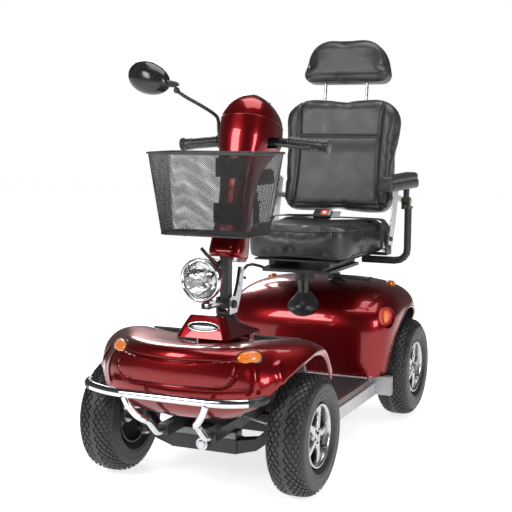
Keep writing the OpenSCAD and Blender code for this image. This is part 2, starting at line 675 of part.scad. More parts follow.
module seat_base() color("#222226") difference() {
    union() {
        box([-118, 170, 508], [118, 470, 518]);
        both() box([92, 172, 518], [104, 468, 528]);
        translate([0, seat_post_y, 478]) cylinder(h = 32, r = 33);
        for (y = [214, 252]) box([98, y, 489], [110, y + 8, 509]);
        along_y([104, 214, 497], 4, 46);
        box([-131, 199, 506], [-117, 206, 518]);
        box([-131, 222, 506], [-117, 229, 518]);
        along_y([-126, 200, 512], 3, 28);
    }
    translate([0, seat_post_y, 450]) cylinder(h = 55.6, r = 20 + run);
}

module swivel_lever() color("#161618") difference() {
    union() {
        along_y([-126, 207.5, 512], 6.5, 13);
        sweep([[-130, 214, 513], [-145, 208, 519], [-170, 202, 524], [-186, 198, 520], [-199, 195, 505],
            [-206, 192, 490], [-204, 190, 481], [-188, 188, 478]], 5, 10, side_v);
    }
    along_y([-126, 190, 512], 3 + run, 60);
}

module seat_frame() color("#1d1d20") {
    box([-150, 176, 545], [150, 530, 550]);
    both() box([88, 200, 528.4], [108, 440, 546]);
    both() box([124, arm_tube_y - 9, 519], [150, arm_tube_y + 9, 546]);
    both() rod([124, arm_tube_y, 527], [242, arm_tube_y, 527], 12.5);
    both() sweep([[238, arm_tube_y, 527], [258, arm_tube_y, 530], [272, arm_tube_y, 539],
        [arm_tube_x - 2, arm_tube_y, 553], [arm_tube_x, arm_tube_y, 570], [arm_tube_x, arm_tube_y, 640],
        [arm_tube_x, arm_tube_y, 714]], 12.4, 16, side_v);
    both() box([arm_tube_x - 13, arm_pivot[0] - 14, 708], [arm_tube_x + 13, arm_tube_y + 12, 716]);
    both() for (x = [arm_tube_x - 13, arm_tube_x + 8.5])
        box([x, arm_pivot[0] - 13, 708], [x + 4.5, arm_pivot[0] + 13, arm_pivot[1] + 13]);
    both() along_x([arm_tube_x - 16, arm_pivot[0], arm_pivot[1]], 5, 32);
    box([-217.5, 470, 545], [217.5, 528, 550]);
    both() box([211.5, 470, 545], [217.5, 528, 628]);
    both() along_x([212, back_hinge[1], back_hinge[2]], 8, 16);
}

module seat_cushion() color("#232426") loft([
    slab_ring(166, 184, 166, 552, 50, 550.3), slab_ring(178, 194, 156, 562, 54, 562),
    slab_ring(185, seat_w, 149, 566, 56, 596), slab_ring(182, seat_w, 151, 566, 56, 634),
    slab_ring(168, 188, 166, 556, 52, 652), slab_ring(132, 152, 200, 520, 44, seat_z)]);

module backrest_frame() color("#77777f") on_backrest() difference() {
    union() {
        both() rotate([90, 0, 90]) translate([0, 0, 218]) linear_extrude(5)
            polygon([[-24, -20], [24, -24], [44, 60], [60, 210], [30, 216], [0, 120]]);
        along_x([-223, 112, 150], 9, 446);
        both() box([218, 30, 140], [223, 112, 160]);
    }
    both() along_x([200, 0, 0], 8 + run, 40);
}

module backrest_cushion() color("#232426") on_backrest() difference() {
    translate([0, 98.7, 88]) rotate([90, 0, 0]) pad(back_w - 13, back_w, 415, 76, 46, 15, 88);
    for (s = [-1, 1]) translate([s * 78.5, 62, 400]) cylinder(h = 200, r = 5.4);
}

module headrest_posts() color("#cfd1d4") on_backrest()
    for (s = [-1, 1]) translate([s * 78.5, 62, 425]) cylinder(h = 165, r = 5);

module headrest_cushion() color("#232426") on_backrest() difference() {
    translate([0, 116, 554]) rotate([90, 0, 0]) pad(170, 158, 163, 88, 34, 18, 92);
    for (s = [-1, 1]) translate([s * 78.5, 62, 425]) cylinder(h = 165, r = 5);
}

module armrest_pad(s) color("#2a2a2d") difference() {
    union() {
        translate([s * 271, 264, 776]) pad(28, 30, 312, 54, 16, 9);
        translate([s * arm_tube_x, 0, 0]) box([-8, arm_pivot[0] - 12, arm_pivot[1]], [8, arm_pivot[0] + 12, 778]);
        along_x([s * arm_tube_x - 8, arm_pivot[0], arm_pivot[1]], 12, 16);
    }
    along_x([s * arm_tube_x - 30, arm_pivot[0], arm_pivot[1]], 5 + run, 60);
}
module armrest_pad_left() armrest_pad(1);
module armrest_pad_right() armrest_pad(-1);

module seat_belt() color("#1b1b1d") difference() {
    union() {
        strap([[-206, 478, 566], [-206, 476, 620], [-204.5, 470, 650], [-196, 464, 664], [-150, 452, 668],
            [-70, 446, 672], [0, 446, 672], [70, 446, 672], [150, 452, 668], [196, 464, 664], [204.5, 470, 650],
            [206, 476, 620], [206, 478, 566]], 22, 1.2);
        on_buckle() box([-33, 0, 0], [33, 38, 17.5]);
    }
    on_buckle() translate([7, 19, 17.7]) cube([26, 26, 24], center = true);
}

// The buckle leans back on the cushion
module on_buckle() translate([-4, 424, 664.5]) rotate([buckle_lean, 0, 0]) children();

module buckle_button() color("#e0281a") on_buckle() translate([7, 19, 13]) cube([25, 25, 5], center = true);

// ---- The scooter ----

main_frame();
side_rails();
floor_pan();
floor_mat();
front_fairing();
tiller_cowl();
indicator_lenses();
bumper_bar();
rear_shroud();
tail_lamps();
batteries();
transaxle();
seat_post();
post_boots();
slide_lever();
axle_beam();
axle_pins();
knuckle_left();
knuckle_right();
tie_rod_left();
tie_rod_right();
tyre_front_left();
tyre_front_right();
tyre_rear_left();
tyre_rear_right();
rim_front_left();
rim_front_right();
rim_rear_left();
rim_rear_right();
steering_column();
headlamp_shell();
headlamp_bezel();
headlamp_lens();
tiller_frame();
tiller_cover();
tiller_cap();
dash_panel();
handlebar();
grips();
tilt_lever();
throttle_lever();
key();
speed_dial();
horn_button();
mirror_arm();
mirror_head();
basket_bracket();
basket();
seat_base();
swivel_lever();
seat_frame();
seat_cushion();
backrest_frame();
backrest_cushion();
headrest_posts();
headrest_cushion();
armrest_pad_left();
armrest_pad_right();
seat_belt();
buckle_button();
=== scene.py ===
"""Looks of a four-wheel mobility scooter: fine panels, tyres, basket and upholstery round the CAD frame."""
import math
import bpy
import bmesh
from mathutils import Matrix, Vector
from mathutils.bvhtree import BVHTree


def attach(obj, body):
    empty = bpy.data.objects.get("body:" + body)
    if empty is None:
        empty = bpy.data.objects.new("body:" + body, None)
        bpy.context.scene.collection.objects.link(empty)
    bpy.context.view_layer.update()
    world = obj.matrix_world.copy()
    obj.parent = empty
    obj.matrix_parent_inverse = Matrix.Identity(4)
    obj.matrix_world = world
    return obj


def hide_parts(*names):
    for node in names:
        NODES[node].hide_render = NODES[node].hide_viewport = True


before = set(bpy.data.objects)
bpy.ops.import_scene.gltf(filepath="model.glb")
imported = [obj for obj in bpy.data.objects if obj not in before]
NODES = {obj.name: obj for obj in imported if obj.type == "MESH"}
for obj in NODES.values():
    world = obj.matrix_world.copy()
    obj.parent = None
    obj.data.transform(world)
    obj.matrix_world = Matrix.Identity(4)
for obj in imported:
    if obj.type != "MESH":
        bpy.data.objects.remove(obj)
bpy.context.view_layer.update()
scene = bpy.context.scene
MM = 0.001
PI = math.pi


# ---------------------------------------------------------------- camera, light, floor

def make_camera():
    """The photograph's viewpoint, fitted to the wheels, the deck and the seat."""
    eye = Vector((1.316, -3.170, 0.986))
    focal_pixels, frame_pixels, sensor = 1103.7, 512, 36.0
    azimuth, elevation, roll = (math.radians(a) for a in (23.58, 6.72, 0.28))
    back = Vector((math.sin(azimuth) * math.cos(elevation), -math.cos(azimuth) * math.cos(elevation),
                   math.sin(elevation)))
    look = -back
    right = look.cross(Vector((0, 0, 1))).normalized()
    up = right.cross(look)
    r = math.cos(roll) * right + math.sin(roll) * up
    u = -math.sin(roll) * right + math.cos(roll) * up
    data = bpy.data.cameras.new("camera")
    data.sensor_width = sensor
    data.lens = focal_pixels / frame_pixels * sensor
    ob = bpy.data.objects.new("camera", data)
    scene.collection.objects.link(ob)
    ob.matrix_world = Matrix(((r.x, u.x, back.x, eye.x), (r.y, u.y, back.y, eye.y),
                              (r.z, u.z, back.z, eye.z), (0, 0, 0, 1)))
    scene.camera = ob


def area_light(name, at, aim, size, power, tall=None):
    data = bpy.data.lights.new(name, "AREA")
    data.shape = "RECTANGLE"
    data.size = size
    data.size_y = tall or size
    data.energy = power
    ob = bpy.data.objects.new(name, data)
    scene.collection.objects.link(ob)
    ob.location = at
    ob.rotation_euler = (Vector(aim) - Vector(at)).to_track_quat("-Z", "Y").to_euler()


def make_studio():
    """White behind the object, a soft grey sky as its light, a darker one in its gloss, and four softboxes."""
    world = bpy.data.worlds.new("studio")
    scene.world = world
    world.use_nodes = True
    nt = world.node_tree
    nt.nodes.clear()

    def node(kind, strength=None):
        made = nt.nodes.new("ShaderNode" + kind)
        if strength is not None:
            made.inputs["Strength"].default_value = strength
        return made

    out, mix, either = node("OutputWorld"), node("MixShader"), node("MixShader")
    seen, lit, gloss = node("Background", 1.0), node("Background", 0.62), node("Background", 0.11)
    seen.inputs["Color"].default_value = (1, 1, 1, 1)
    ramp, spot, split, path = node("ValToRGB"), node("TexCoord"), node("SeparateXYZ"), node("LightPath")
    stops = ramp.color_ramp.elements
    stops[0].position, stops[0].color = 0.0, (0.9, 0.9, 0.9, 1)
    stops[1].position, stops[1].color = 1.0, (0.5, 0.5, 0.52, 1)
    for where, grey in ((0.16, 1.0), (0.34, 0.72), (0.6, 0.5)):
        stops.new(where).color = (grey, grey, grey, 1)
    for source, target in ((spot.outputs["Generated"], split.inputs[0]), (split.outputs["Z"], ramp.inputs[0]),
                           (ramp.outputs[0], lit.inputs["Color"]), (ramp.outputs[0], gloss.inputs["Color"]),
                           (path.outputs["Is Camera Ray"], mix.inputs[0]), (lit.outputs[0], either.inputs[1]),
                           (path.outputs["Is Glossy Ray"], either.inputs[0]),
                           (gloss.outputs[0], either.inputs[2]),
                           (either.outputs[0], mix.inputs[1]), (seen.outputs[0], mix.inputs[2]),
                           (mix.outputs[0], out.inputs["Surface"])):
        nt.links.new(source, target)
    area_light("key", (-1.5, -3.4, 2.3), (0, -0.1, 0.5), 1.1, 62, 1.5)
    area_light("fill", (3.2, -2.3, 1.7), (0, 0, 0.5), 0.9, 46, 1.4)
    area_light("top", (0.2, 0.1, 3.3), (0, 0, 0.4), 2.2, 60)
    area_light("back", (-1.8, 2.6, 2.0), (0, 0.2, 0.7), 1.2, 34)


def make_floor():
    mesh = bpy.data.meshes.new("floor")
    n, half, sunk = 48, 14.0, 0.0005
    line = [half * (2 * i / n - 1) for i in range(n + 1)]
    verts = [(x, y, -sunk) for y in line for x in line]
    faces = [(j * (n + 1) + i, j * (n + 1) + i + 1, (j + 1) * (n + 1) + i + 1, (j + 1) * (n + 1) + i)
             for j in range(n) for i in range(n)]
    mesh.from_pydata(verts, [], faces)
    ob = bpy.data.objects.new("floor", mesh)
    scene.collection.objects.link(ob)
    mat = surface("studio_floor", (0.80, 0.80, 0.80), (0.83, 0.83, 0.83), 3, rough=(0.75, 0.85), bump=0,
                  Emission_Color=(1, 1, 1, 1), Emission_Strength=0.72)
    mesh.materials.append(mat)


# ---------------------------------------------------------------- materials

def surface(name, dark, light, scale, rough=(0.3, 0.4), metal=0.0, bump=0.15, grain=300.0, kind="noise",
            distance=0.0004, stretch=(1, 1, 1), **sockets):
    """A Principled material: two noisy tones, varied roughness and a bump of noise or cells."""
    mat = bpy.data.materials.new(name)
    mat.use_nodes = True
    nt = mat.node_tree
    link = nt.links.new
    bsdf = nt.nodes["Principled BSDF"]
    coord = nt.nodes.new("ShaderNodeTexCoord")
    tone = nt.nodes.new("ShaderNodeTexNoise")
    tone.inputs["Scale"].default_value = scale
    tone.inputs["Detail"].default_value = 5
    link(coord.outputs["Object"], tone.inputs["Vector"])
    ramp = nt.nodes.new("ShaderNodeValToRGB")
    ramp.color_ramp.elements[0].position, ramp.color_ramp.elements[0].color = 0.3, (*dark, 1)
    ramp.color_ramp.elements[1].position, ramp.color_ramp.elements[1].color = 0.7, (*light, 1)
    link(tone.outputs["Fac"], ramp.inputs[0])
    link(ramp.outputs[0], bsdf.inputs["Base Color"])
    spread = nt.nodes.new("ShaderNodeMapRange")
    spread.inputs["From Min"].default_value, spread.inputs["From Max"].default_value = 0.3, 0.7
    spread.inputs["To Min"].default_value, spread.inputs["To Max"].default_value = rough
    link(tone.outputs["Fac"], spread.inputs["Value"])
    link(spread.outputs[0], bsdf.inputs["Roughness"])
    bsdf.inputs["Metallic"].default_value = metal
    for key, value in sockets.items():
        bsdf.inputs[key.replace("_", " ")].default_value = value
    if bump:
        fine = nt.nodes.new("ShaderNodeTexVoronoi" if kind == "cells" else "ShaderNodeTexNoise")
        fine.inputs["Scale"].default_value = grain
        source = coord.outputs["Object"]
        if stretch != (1, 1, 1):
            push = nt.nodes.new("ShaderNodeMapping")
            push.inputs["Scale"].default_value = stretch
            link(source, push.inputs["Vector"])
            source = push.outputs[0]
        link(source, fine.inputs["Vector"])
        height = nt.nodes.new("ShaderNodeBump")
        height.inputs["Strength"].default_value = bump
        height.inputs["Distance"].default_value = distance
        link(fine.outputs["Distance" if kind == "cells" else "Fac"], height.inputs["Height"])
        link(height.outputs[0], bsdf.inputs["Normal"])
    return mat


def candy(name, dark, light):
    """Metallic red under clear coat, with fine flakes."""
    return surface(name, dark, light, 900, rough=(0.24, 0.34), metal=0.82, bump=0.05, grain=1800,
                   kind="cells",
                   distance=0.0002, Coat_Weight=1.0, Coat_Roughness=0.02, Coat_IOR=1.38)


def woven(name, dark, light):
    """Webbing: crossed threads from two waves."""
    mat = surface(name, dark, light, 160, rough=(0.6, 0.75), bump=0)
    nt = mat.node_tree
    link = nt.links.new
    bsdf = nt.nodes["Principled BSDF"]
    coord = next(n for n in nt.nodes if n.type == "TEX_COORD")
    height = nt.nodes.new("ShaderNodeBump")
    height.inputs["Strength"].default_value = 0.7
    height.inputs["Distance"].default_value = 0.0008
    add = nt.nodes.new("ShaderNodeMath")
    add.operation = "ADD"
    for slot, way in ((0, "X"), (1, "Y")):
        wave = nt.nodes.new("ShaderNodeTexWave")
        wave.bands_direction = way
        wave.inputs["Scale"].default_value = 180
        link(coord.outputs["Object"], wave.inputs["Vector"])
        link(wave.outputs["Fac"], add.inputs[slot])
    link(add.outputs[0], height.inputs["Height"])
    link(height.outputs[0], bsdf.inputs["Normal"])
    return mat


RED = candy("candy_red", (0.17, 0.0005, 0.0026), (0.25, 0.0009, 0.0042))
RED_DARK = candy("candy_red_dark", (0.07, 0.0006, 0.002), (0.12, 0.001, 0.003))
BLACK = surface("powder_black", (0.012, 0.012, 0.013), (0.03, 0.03, 0.032), 60, rough=(0.34, 0.5), bump=0.2,
                grain=900)
BLACK_GLOSS = surface("gloss_black", (0.01, 0.01, 0.011), (0.02, 0.02, 0.022), 40, rough=(0.12, 0.22),
                      bump=0.05)
PLASTIC = surface("control_plastic", (0.012, 0.012, 0.013), (0.028, 0.028, 0.03), 80, rough=(0.3, 0.42),
                  bump=0.25,
                  grain=1400)
RUBBER = surface("boot_rubber", (0.009, 0.009, 0.010), (0.02, 0.02, 0.021), 35, rough=(0.26, 0.36), bump=0.1,
                 grain=500, Sheen_Weight=0.15)
TYRE = surface("tyre_rubber", (0.014, 0.014, 0.015), (0.034, 0.034, 0.036), 45, rough=(0.42, 0.58), bump=0.25,
               grain=700)
MAT = surface("mat_rubber", (0.018, 0.018, 0.019), (0.045, 0.045, 0.046), 90, rough=(0.42, 0.6), bump=0.2,
              grain=900)
LEATHER = surface("seat_leather", (0.015, 0.0155, 0.017), (0.026, 0.0265, 0.029), 22, rough=(0.33, 0.44),
                  bump=0.3,
                  grain=620, kind="cells", distance=0.0005, Specular_IOR_Level=0.62)
ARM = surface("arm_plastic", (0.022, 0.022, 0.024), (0.045, 0.045, 0.048), 40, rough=(0.38, 0.5), bump=0.3,
              grain=900, kind="cells", distance=0.0004)
CHROME = surface("chrome", (0.62, 0.62, 0.63), (0.74, 0.74, 0.75), 25, rough=(0.04, 0.09), metal=1.0,
                 bump=0.02)
ALLOY = surface("rim_alloy", (0.42, 0.42, 0.43), (0.56, 0.56, 0.57), 60, rough=(0.2, 0.3), metal=0.9,
                bump=0.06,
                grain=1200)
BRUSHED = surface("brushed_silver", (0.5, 0.5, 0.51), (0.68, 0.68, 0.69), 40, rough=(0.26, 0.4), metal=0.9,
                  bump=0.2, grain=260, stretch=(1, 12, 12))
RAIL = surface("rail_silver", (0.42, 0.42, 0.44), (0.52, 0.52, 0.54), 25, rough=(0.34, 0.46), metal=0.55,
               bump=0.12,
               grain=700)
ZINC = surface("zinc", (0.5, 0.52, 0.56), (0.7, 0.71, 0.74), 90, rough=(0.22, 0.4), metal=0.9, bump=0.1,
               grain=600)
BRASS = surface("yellow_zinc", (0.5, 0.36, 0.13), (0.7, 0.52, 0.24), 120, rough=(0.25, 0.4), metal=0.9,
                bump=0.1)
BROWN = surface("pan_brown", (0.055, 0.030, 0.027), (0.10, 0.058, 0.050), 30, rough=(0.3, 0.45), bump=0.15)
STEEL = surface("cast_metal", (0.16, 0.16, 0.17), (0.28, 0.28, 0.29), 80, rough=(0.4, 0.6), metal=0.7,
                bump=0.3,
                grain=500)
BATTERY = surface("battery_case", (0.03, 0.032, 0.04), (0.05, 0.052, 0.06), 30, rough=(0.4, 0.55), bump=0.2)
WIRE = surface("basket_wire", (0.018, 0.018, 0.019), (0.04, 0.04, 0.042), 120, rough=(0.35, 0.5), bump=0.1,
               grain=900)
BELT = woven("belt_web", (0.022, 0.022, 0.024), (0.05, 0.05, 0.053))
GREY = surface("grey_plastic", (0.2, 0.2, 0.2), (0.28, 0.28, 0.28), 70, rough=(0.4, 0.5), bump=0.2, grain=900)
PALE = surface("pale_plastic", (0.75, 0.73, 0.70), (0.85, 0.83, 0.80), 70, rough=(0.35, 0.45), bump=0.1)
BUTTON = surface("button_red", (0.75, 0.05, 0.015), (0.9, 0.09, 0.03), 90, rough=(0.3, 0.4), bump=0.1)
YELLOW = surface("horn_yellow", (0.7, 0.48, 0.04), (0.85, 0.6, 0.08), 90, rough=(0.3, 0.4), bump=0.1)
AMBER = surface("amber_lens", (0.72, 0.15, 0.004), (0.88, 0.24, 0.012), 140, rough=(0.08, 0.16), bump=0.3,
                grain=260,
                Coat_Weight=0.8, Transmission_Weight=0.15)
LAMP_RED = surface("lamp_red", (0.55, 0.012, 0.012), (0.75, 0.03, 0.03), 200, rough=(0.08, 0.16), bump=0.5,
                   grain=420, kind="cells", distance=0.001, Coat_Weight=0.8)
REFLECTOR = surface("side_reflector", (0.62, 0.12, 0.12), (0.8, 0.25, 0.24), 200, rough=(0.12, 0.22),
                    bump=0.4,
                    grain=500, kind="cells", Coat_Weight=0.6)
GLASS = surface("clear_lens", (0.93, 0.95, 0.97), (1, 1, 1), 20, rough=(0.0, 0.02), bump=0.12, grain=45,
                distance=0.002, Transmission_Weight=1.0, IOR=1.3)
MIRROR = surface("mirror_glass", (0.8, 0.82, 0.84), (0.88, 0.9, 0.92), 8, rough=(0.01, 0.03), metal=1.0,
                 bump=0)
BOWL = surface("lamp_reflector", (0.85, 0.85, 0.86), (0.97, 0.97, 0.97), 30, rough=(0.05, 0.15), metal=1.0,
               bump=0.35, grain=60, kind="cells", distance=0.003)
EMBLEM = surface("emblem_face", (0.014, 0.014, 0.015), (0.03, 0.03, 0.03), 50, rough=(0.15, 0.25), bump=0.05,
                 Coat_Weight=0.7)
WELL = surface("well_plastic", (0.10, 0.075, 0.060), (0.17, 0.13, 0.11), 30, rough=(0.5, 0.65), bump=0.2)


# ---------------------------------------------------------------- mesh helpers (millimetres)

def around(count):
    """Cosine and sine at count equal steps of a turn."""
    return [(math.cos(2 * PI * k / count), math.sin(2 * PI * k / count)) for k in range(count)]


def spline(points, per):
    """Catmull-Rom through the points, with per steps in each stretch."""
    pts = [tuple(float(c) for c in p) for p in points]
    n = len(pts)
    out = []
    for i in range(n - 1):
        b, c = pts[i], pts[i + 1]
        a = pts[i - 1] if i else tuple(2 * x - y for x, y in zip(b, c))
        d = pts[i + 2] if i + 2 < n else tuple(2 * y - x for x, y in zip(b, c))
        for k in range(per):
            t = k / per
            out.append(tuple(0.5 * (2 * q + (r - p) * t + (2 * p - 5 * q + 4 * r - s) * t * t
                                    + (3 * q - p - 3 * r + s) * t ** 3) for p, q, r, s in zip(a, b, c, d)))
    out.append(pts[-1])
    return out


def loft(rings, closed=True, caps=True):
    n, m = len(rings[0]), len(rings)
    verts = [Vector(p) for r in rings for p in r]
    span = n if closed else n - 1
    faces = [(i * n + k, i * n + (k + 1) % n, (i + 1) * n + (k + 1) % n, (i + 1) * n + k)
             for i in range(m - 1) for k in range(span)]
    if caps:
        faces += [tuple(range(n))[::-1], tuple((m - 1) * n + k for k in range(n))]
    return verts, faces


def tube(path, radius, sides=16, caps=True):
    """A round bar along the path; radius may be a list."""
    pts = [Vector(p) for p in path]
    radii = radius if isinstance(radius, (list, tuple)) else [radius] * len(pts)
    ahead = [(pts[min(i + 1, len(pts) - 1)] - pts[max(i - 1, 0)]).normalized() for i in range(len(pts))]
    side = ahead[0].orthogonal().normalized()
    rings = []
    for p, t, r in zip(pts, ahead, radii):
        side = (side - t * side.dot(t)).normalized()
        other = t.cross(side)
        rings.append([p + r * (side * c + other * s) for c, s in around(sides)])
    return loft(rings, caps=caps)


def turned(profile, sides=64, closed=False):
    """A profile of (radius, height) turned about Z; radius 0 ends are closed with a point."""
    verts, rows = [], []
    for r, z in profile:
        if r < 1e-6:
            rows.append([len(verts)] * sides)
            verts.append(Vector((0, 0, z)))
        else:
            rows.append([len(verts) + k for k in range(sides)])
            verts += [Vector((r * c, r * s, z)) for c, s in around(sides)]
    faces = []
    pairs = list(zip(rows, rows[1:])) + ([(rows[-1], rows[0])] if closed else [])
    for a, b in pairs:
        for k in range(sides):
            f = [a[k], a[(k + 1) % sides], b[(k + 1) % sides], b[k]]
            f = [v for i, v in enumerate(f) if v not in f[:i]]
            if len(f) > 2:
                faces.append(tuple(f))
    return verts, faces


def rod(r, z0, z1, sides):
    """A closed cylinder along Z."""
    return turned([(0, z0), (r, z0), (r, z1), (0, z1)], sides)


def button(r, h, soft, sides=6):
    """A nut or stud about Z, h each way from its middle, with its edges softened."""
    return turned([(0, -h), (r - soft, -h), (r, -h / 2), (r, h / 2), (r - soft, h), (0, h)], sides)


def slab(lo, hi, r=2.0, steps=3):
    """A box with all its edges rounded by r."""
    mesh = bmesh.new()
    bmesh.ops.create_cube(mesh, size=1)
    size = [h - l for l, h in zip(lo, hi)]
    for v in mesh.verts:
        v.co = Vector([l + (c + 0.5) * s for l, c, s in zip(lo, v.co, size)])
    bmesh.ops.bevel(mesh, geom=list(mesh.edges) + list(mesh.verts), offset=min(r, min(size) * 0.45),
                    segments=steps, affect="EDGES", profile=0.5)
    mesh.verts.ensure_lookup_table()
    out = [v.co.copy() for v in mesh.verts], [tuple(v.index for v in f.verts) for f in mesh.faces]
    mesh.free()
    return out


def place(origin=(0, 0, 0), x=0.0, y=0.0, z=0.0, order="XYZ"):
    """Turns about the fixed axes in the given order, then moves."""
    turn = Matrix.Identity(4)
    for axis in order:
        turn = Matrix.Rotation(math.radians({"X": x, "Y": y, "Z": z}[axis]), 4, axis) @ turn
    return Matrix.Translation(Vector(origin)) @ turn


FLIP = Matrix.Diagonal((-1, 1, 1, 1))


class Shape:
    """Collects parts in millimetres and turns them into one piece."""

    def __init__(self):
        self.verts, self.faces, self.tags = [], [], []

    def add(self, part, tag=0, at=None, mirrored=False):
        verts, faces = part
        for flip in ((None, FLIP) if mirrored else (None,)):
            base = len(self.verts)
            for p in verts:
                q = at @ Vector(p) if at else Vector(p)
                self.verts.append(flip @ q if flip else q)
            self.faces += [tuple(base + i for i in f) for f in faces]
            self.tags += [tag] * len(faces) if not isinstance(tag, list) else tag
        return self

    def piece(self, name, body, mats, slot, replaces=(), sharp=38, fix=True):
        mesh = bpy.data.meshes.new(name)
        mesh.from_pydata([p * MM for p in self.verts], [], self.faces)
        for m in mats:
            mesh.materials.append(m)
        mesh.polygons.foreach_set("material_index", self.tags)
        if fix:
            work = bmesh.new()
            work.from_mesh(mesh)
            bmesh.ops.recalc_face_normals(work, faces=work.faces)
            work.to_mesh(mesh)
            work.free()
        ob = bpy.data.objects.new(name, mesh)
        scene.collection.objects.link(ob)
        soften(ob, sharp)
        if body:
            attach(ob, body)
        if replaces:
            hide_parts(*replaces)
        return ob


def soften(ob, sharp):
    ob.data.shade_smooth()
    ob.data.set_sharp_from_angle(angle=math.radians(sharp))


def bake_modifiers(ob, sharp=38):
    """Applies the modifiers of a piece to its mesh."""
    bpy.context.view_layer.update()
    done = bpy.data.meshes.new_from_object(ob.evaluated_get(bpy.context.evaluated_depsgraph_get()))
    ob.modifiers.clear()
    ob.data = done
    soften(ob, sharp)
    return ob


def carve(ob, *cutters, sharp=38):
    """Cuts the closed shapes out of the piece."""
    made = []
    for k, c in enumerate(cutters):
        tool = c.piece(f"{ob.name}_cut{k}", None, [], None)
        made.append(tool)
        mod = ob.modifiers.new("cut", "BOOLEAN")
        mod.operation, mod.solver, mod.object = "DIFFERENCE", "EXACT", tool
    bake_modifiers(ob, sharp)
    for tool in made:
        bpy.data.objects.remove(tool)
    return ob


def thicken(ob, t, sharp=38):
    mod = ob.modifiers.new("wall", "SOLIDIFY")
    mod.thickness, mod.offset, mod.use_even_offset = t * MM, -1, True
    return bake_modifiers(ob, sharp)


def line_inside(ob, mat, centre, stretch=1.0):
    """Gives the faces that look towards the centre (mm) the second material."""
    ob.data.materials.append(mat)
    for poly in ob.data.polygons:
        c = poly.center / MM - Vector(centre)
        c.z *= stretch
        if poly.normal.dot(c) < 0:
            poly.material_index = 1


def oval_ring(w, f, b, n, z, m=0.0, count=128):
    out = []
    for c, s in around(count):
        e = 2 / (m if s > 0 and m > 0 else n)
        out.append((w * math.copysign(abs(c) ** e, c),
                    (f + b) / 2 + (b - f) / 2 * math.copysign(abs(s) ** e, s), z))
    return out


def slab_ring(wf, wr, y0, y1, r, z, slope=0.0, steps=10, q=0.0):
    b = q or r
    out = []
    for mx, my, a0, rad in ((wr - b, y1 - b, 0, b), (-wr + b, y1 - b, 90, b), (-wf + r, y0 + r, 180, r),
                            (wf - r, y0 + r, 270, r)):
        for k in range(steps + 1):
            a = math.radians(a0 + 90 * k / steps)
            x, y = mx + rad * math.cos(a), my + rad * math.sin(a)
            out.append((x, y, z + slope * (y - y0)))
    return out


def smoothstep(a, b, x):
    t = max(0.0, min(1.0, (x - a) / (b - a)))
    return t * t * (3 - 2 * t)


def segment_distance(p, a, b):
    ab = (b[0] - a[0], b[1] - a[1])
    t = max(0.0, min(1.0, ((p[0] - a[0]) * ab[0] + (p[1] - a[1]) * ab[1]) / (ab[0] ** 2 + ab[1] ** 2)))
    return math.hypot(p[0] - a[0] - ab[0] * t, p[1] - a[1] - ab[1] * t)


def line_distance(p, line):
    return min(segment_distance(p, a, b) for a, b in zip(line, line[1:]))


def displace(ob, shift):
    """Moves each vertex along its normal by shift(point in mm, normal), in mm."""
    mesh = ob.data
    spots = [(v.co.copy(), v.normal.copy()) for v in mesh.vertices]
    moved = []
    for co, normal in spots:
        moved.extend(co + normal * (shift(co / MM, normal) * MM))
    mesh.vertices.foreach_set("co", moved)
    mesh.update()


# ---------------------------------------------------------------- front fairing and cowl

# Curves of the front shell from its chin over its nose to its rear edge, from the middle to the side
FAIRING = [
    [(0, -598, 217), (0, -652, 232), (0, -692, 278), (0, -701, 330), (0, -697, 375),
     (0, -680, 410), (0, -630, 414), (0, -530, 403), (0, -430, 394), (0, -378, 388)],
    [(92, -598, 219), (96, -645, 235), (104, -682, 278), (106, -689, 330), (106, -684, 374),
     (102, -662, 409), (100, -610, 415), (100, -525, 408), (100, -430, 398), (100, -379, 389)],
    [(140, -600, 228), (152, -634, 242), (172, -664, 278), (182, -667, 326), (185, -656, 368),
     (182, -618, 404), (180, -572, 415), (180, -505, 415), (180, -430, 405), (180, -379, 391)],
    [(168, -614, 246), (182, -634, 256), (206, -648, 280), (226, -640, 316), (238, -616, 353),
     (238, -575, 388), (237, -532, 406), (236, -472, 414), (236, -415, 408), (238, -376, 393)],
    [(188, -622, 256), (200, -635, 264), (220, -640, 284), (246, -619, 318), (265, -587, 352),
     (272, -552, 376), (278, -512, 393), (281, -455, 405), (281, -395, 397), (280, -345, 370)],
    [(200, -622, 262), (212, -632, 269), (231, -632, 288), (259, -602, 320), (280, -568, 348),
     (293, -532, 369), (302, -494, 383), (306, -446, 391), (305, -382, 378), (300, -322, 322)],
    [(207, -618, 268), (219, -624, 277), (235, -618, 295), (259, -588, 320), (279, -556, 343),
     (291, -522, 361), (300, -488, 374), (304, -445, 379), (303, -378, 358), (297, -308, 282)]]
CHEEKS = [spline([(196, 384), (209, 362), (212, 330), (202, 300)], 5),
          spline([(250, 372), (260, 352), (266, 330)], 5)]


def fairing_relief(p, normal):
    """The recessed front panel and the cheek creases, on the outer skin."""
    if p.y > -560 or p.z > 404:
        return 0.0
    x, z = abs(p.x), p.z
    half, top, low, r = 166.0, 381.0 + 0.00022 * x * x, 326.0, 40.0
    qx, qz = x - (half - r), (low + r) - z
    corner = math.hypot(max(qx, 0), max(qz, 0)) + min(max(qx, qz), 0) - r
    inside = -max(corner, z - top)
    d = -10.0 * smoothstep(0, 4, inside)
    d += 3.4 * math.exp(-((inside + 4) / 4.0) ** 2)
    for line in CHEEKS:
        d -= 3.2 * math.exp(-(line_distance((x, z), line) / 5.5) ** 2)
    return d


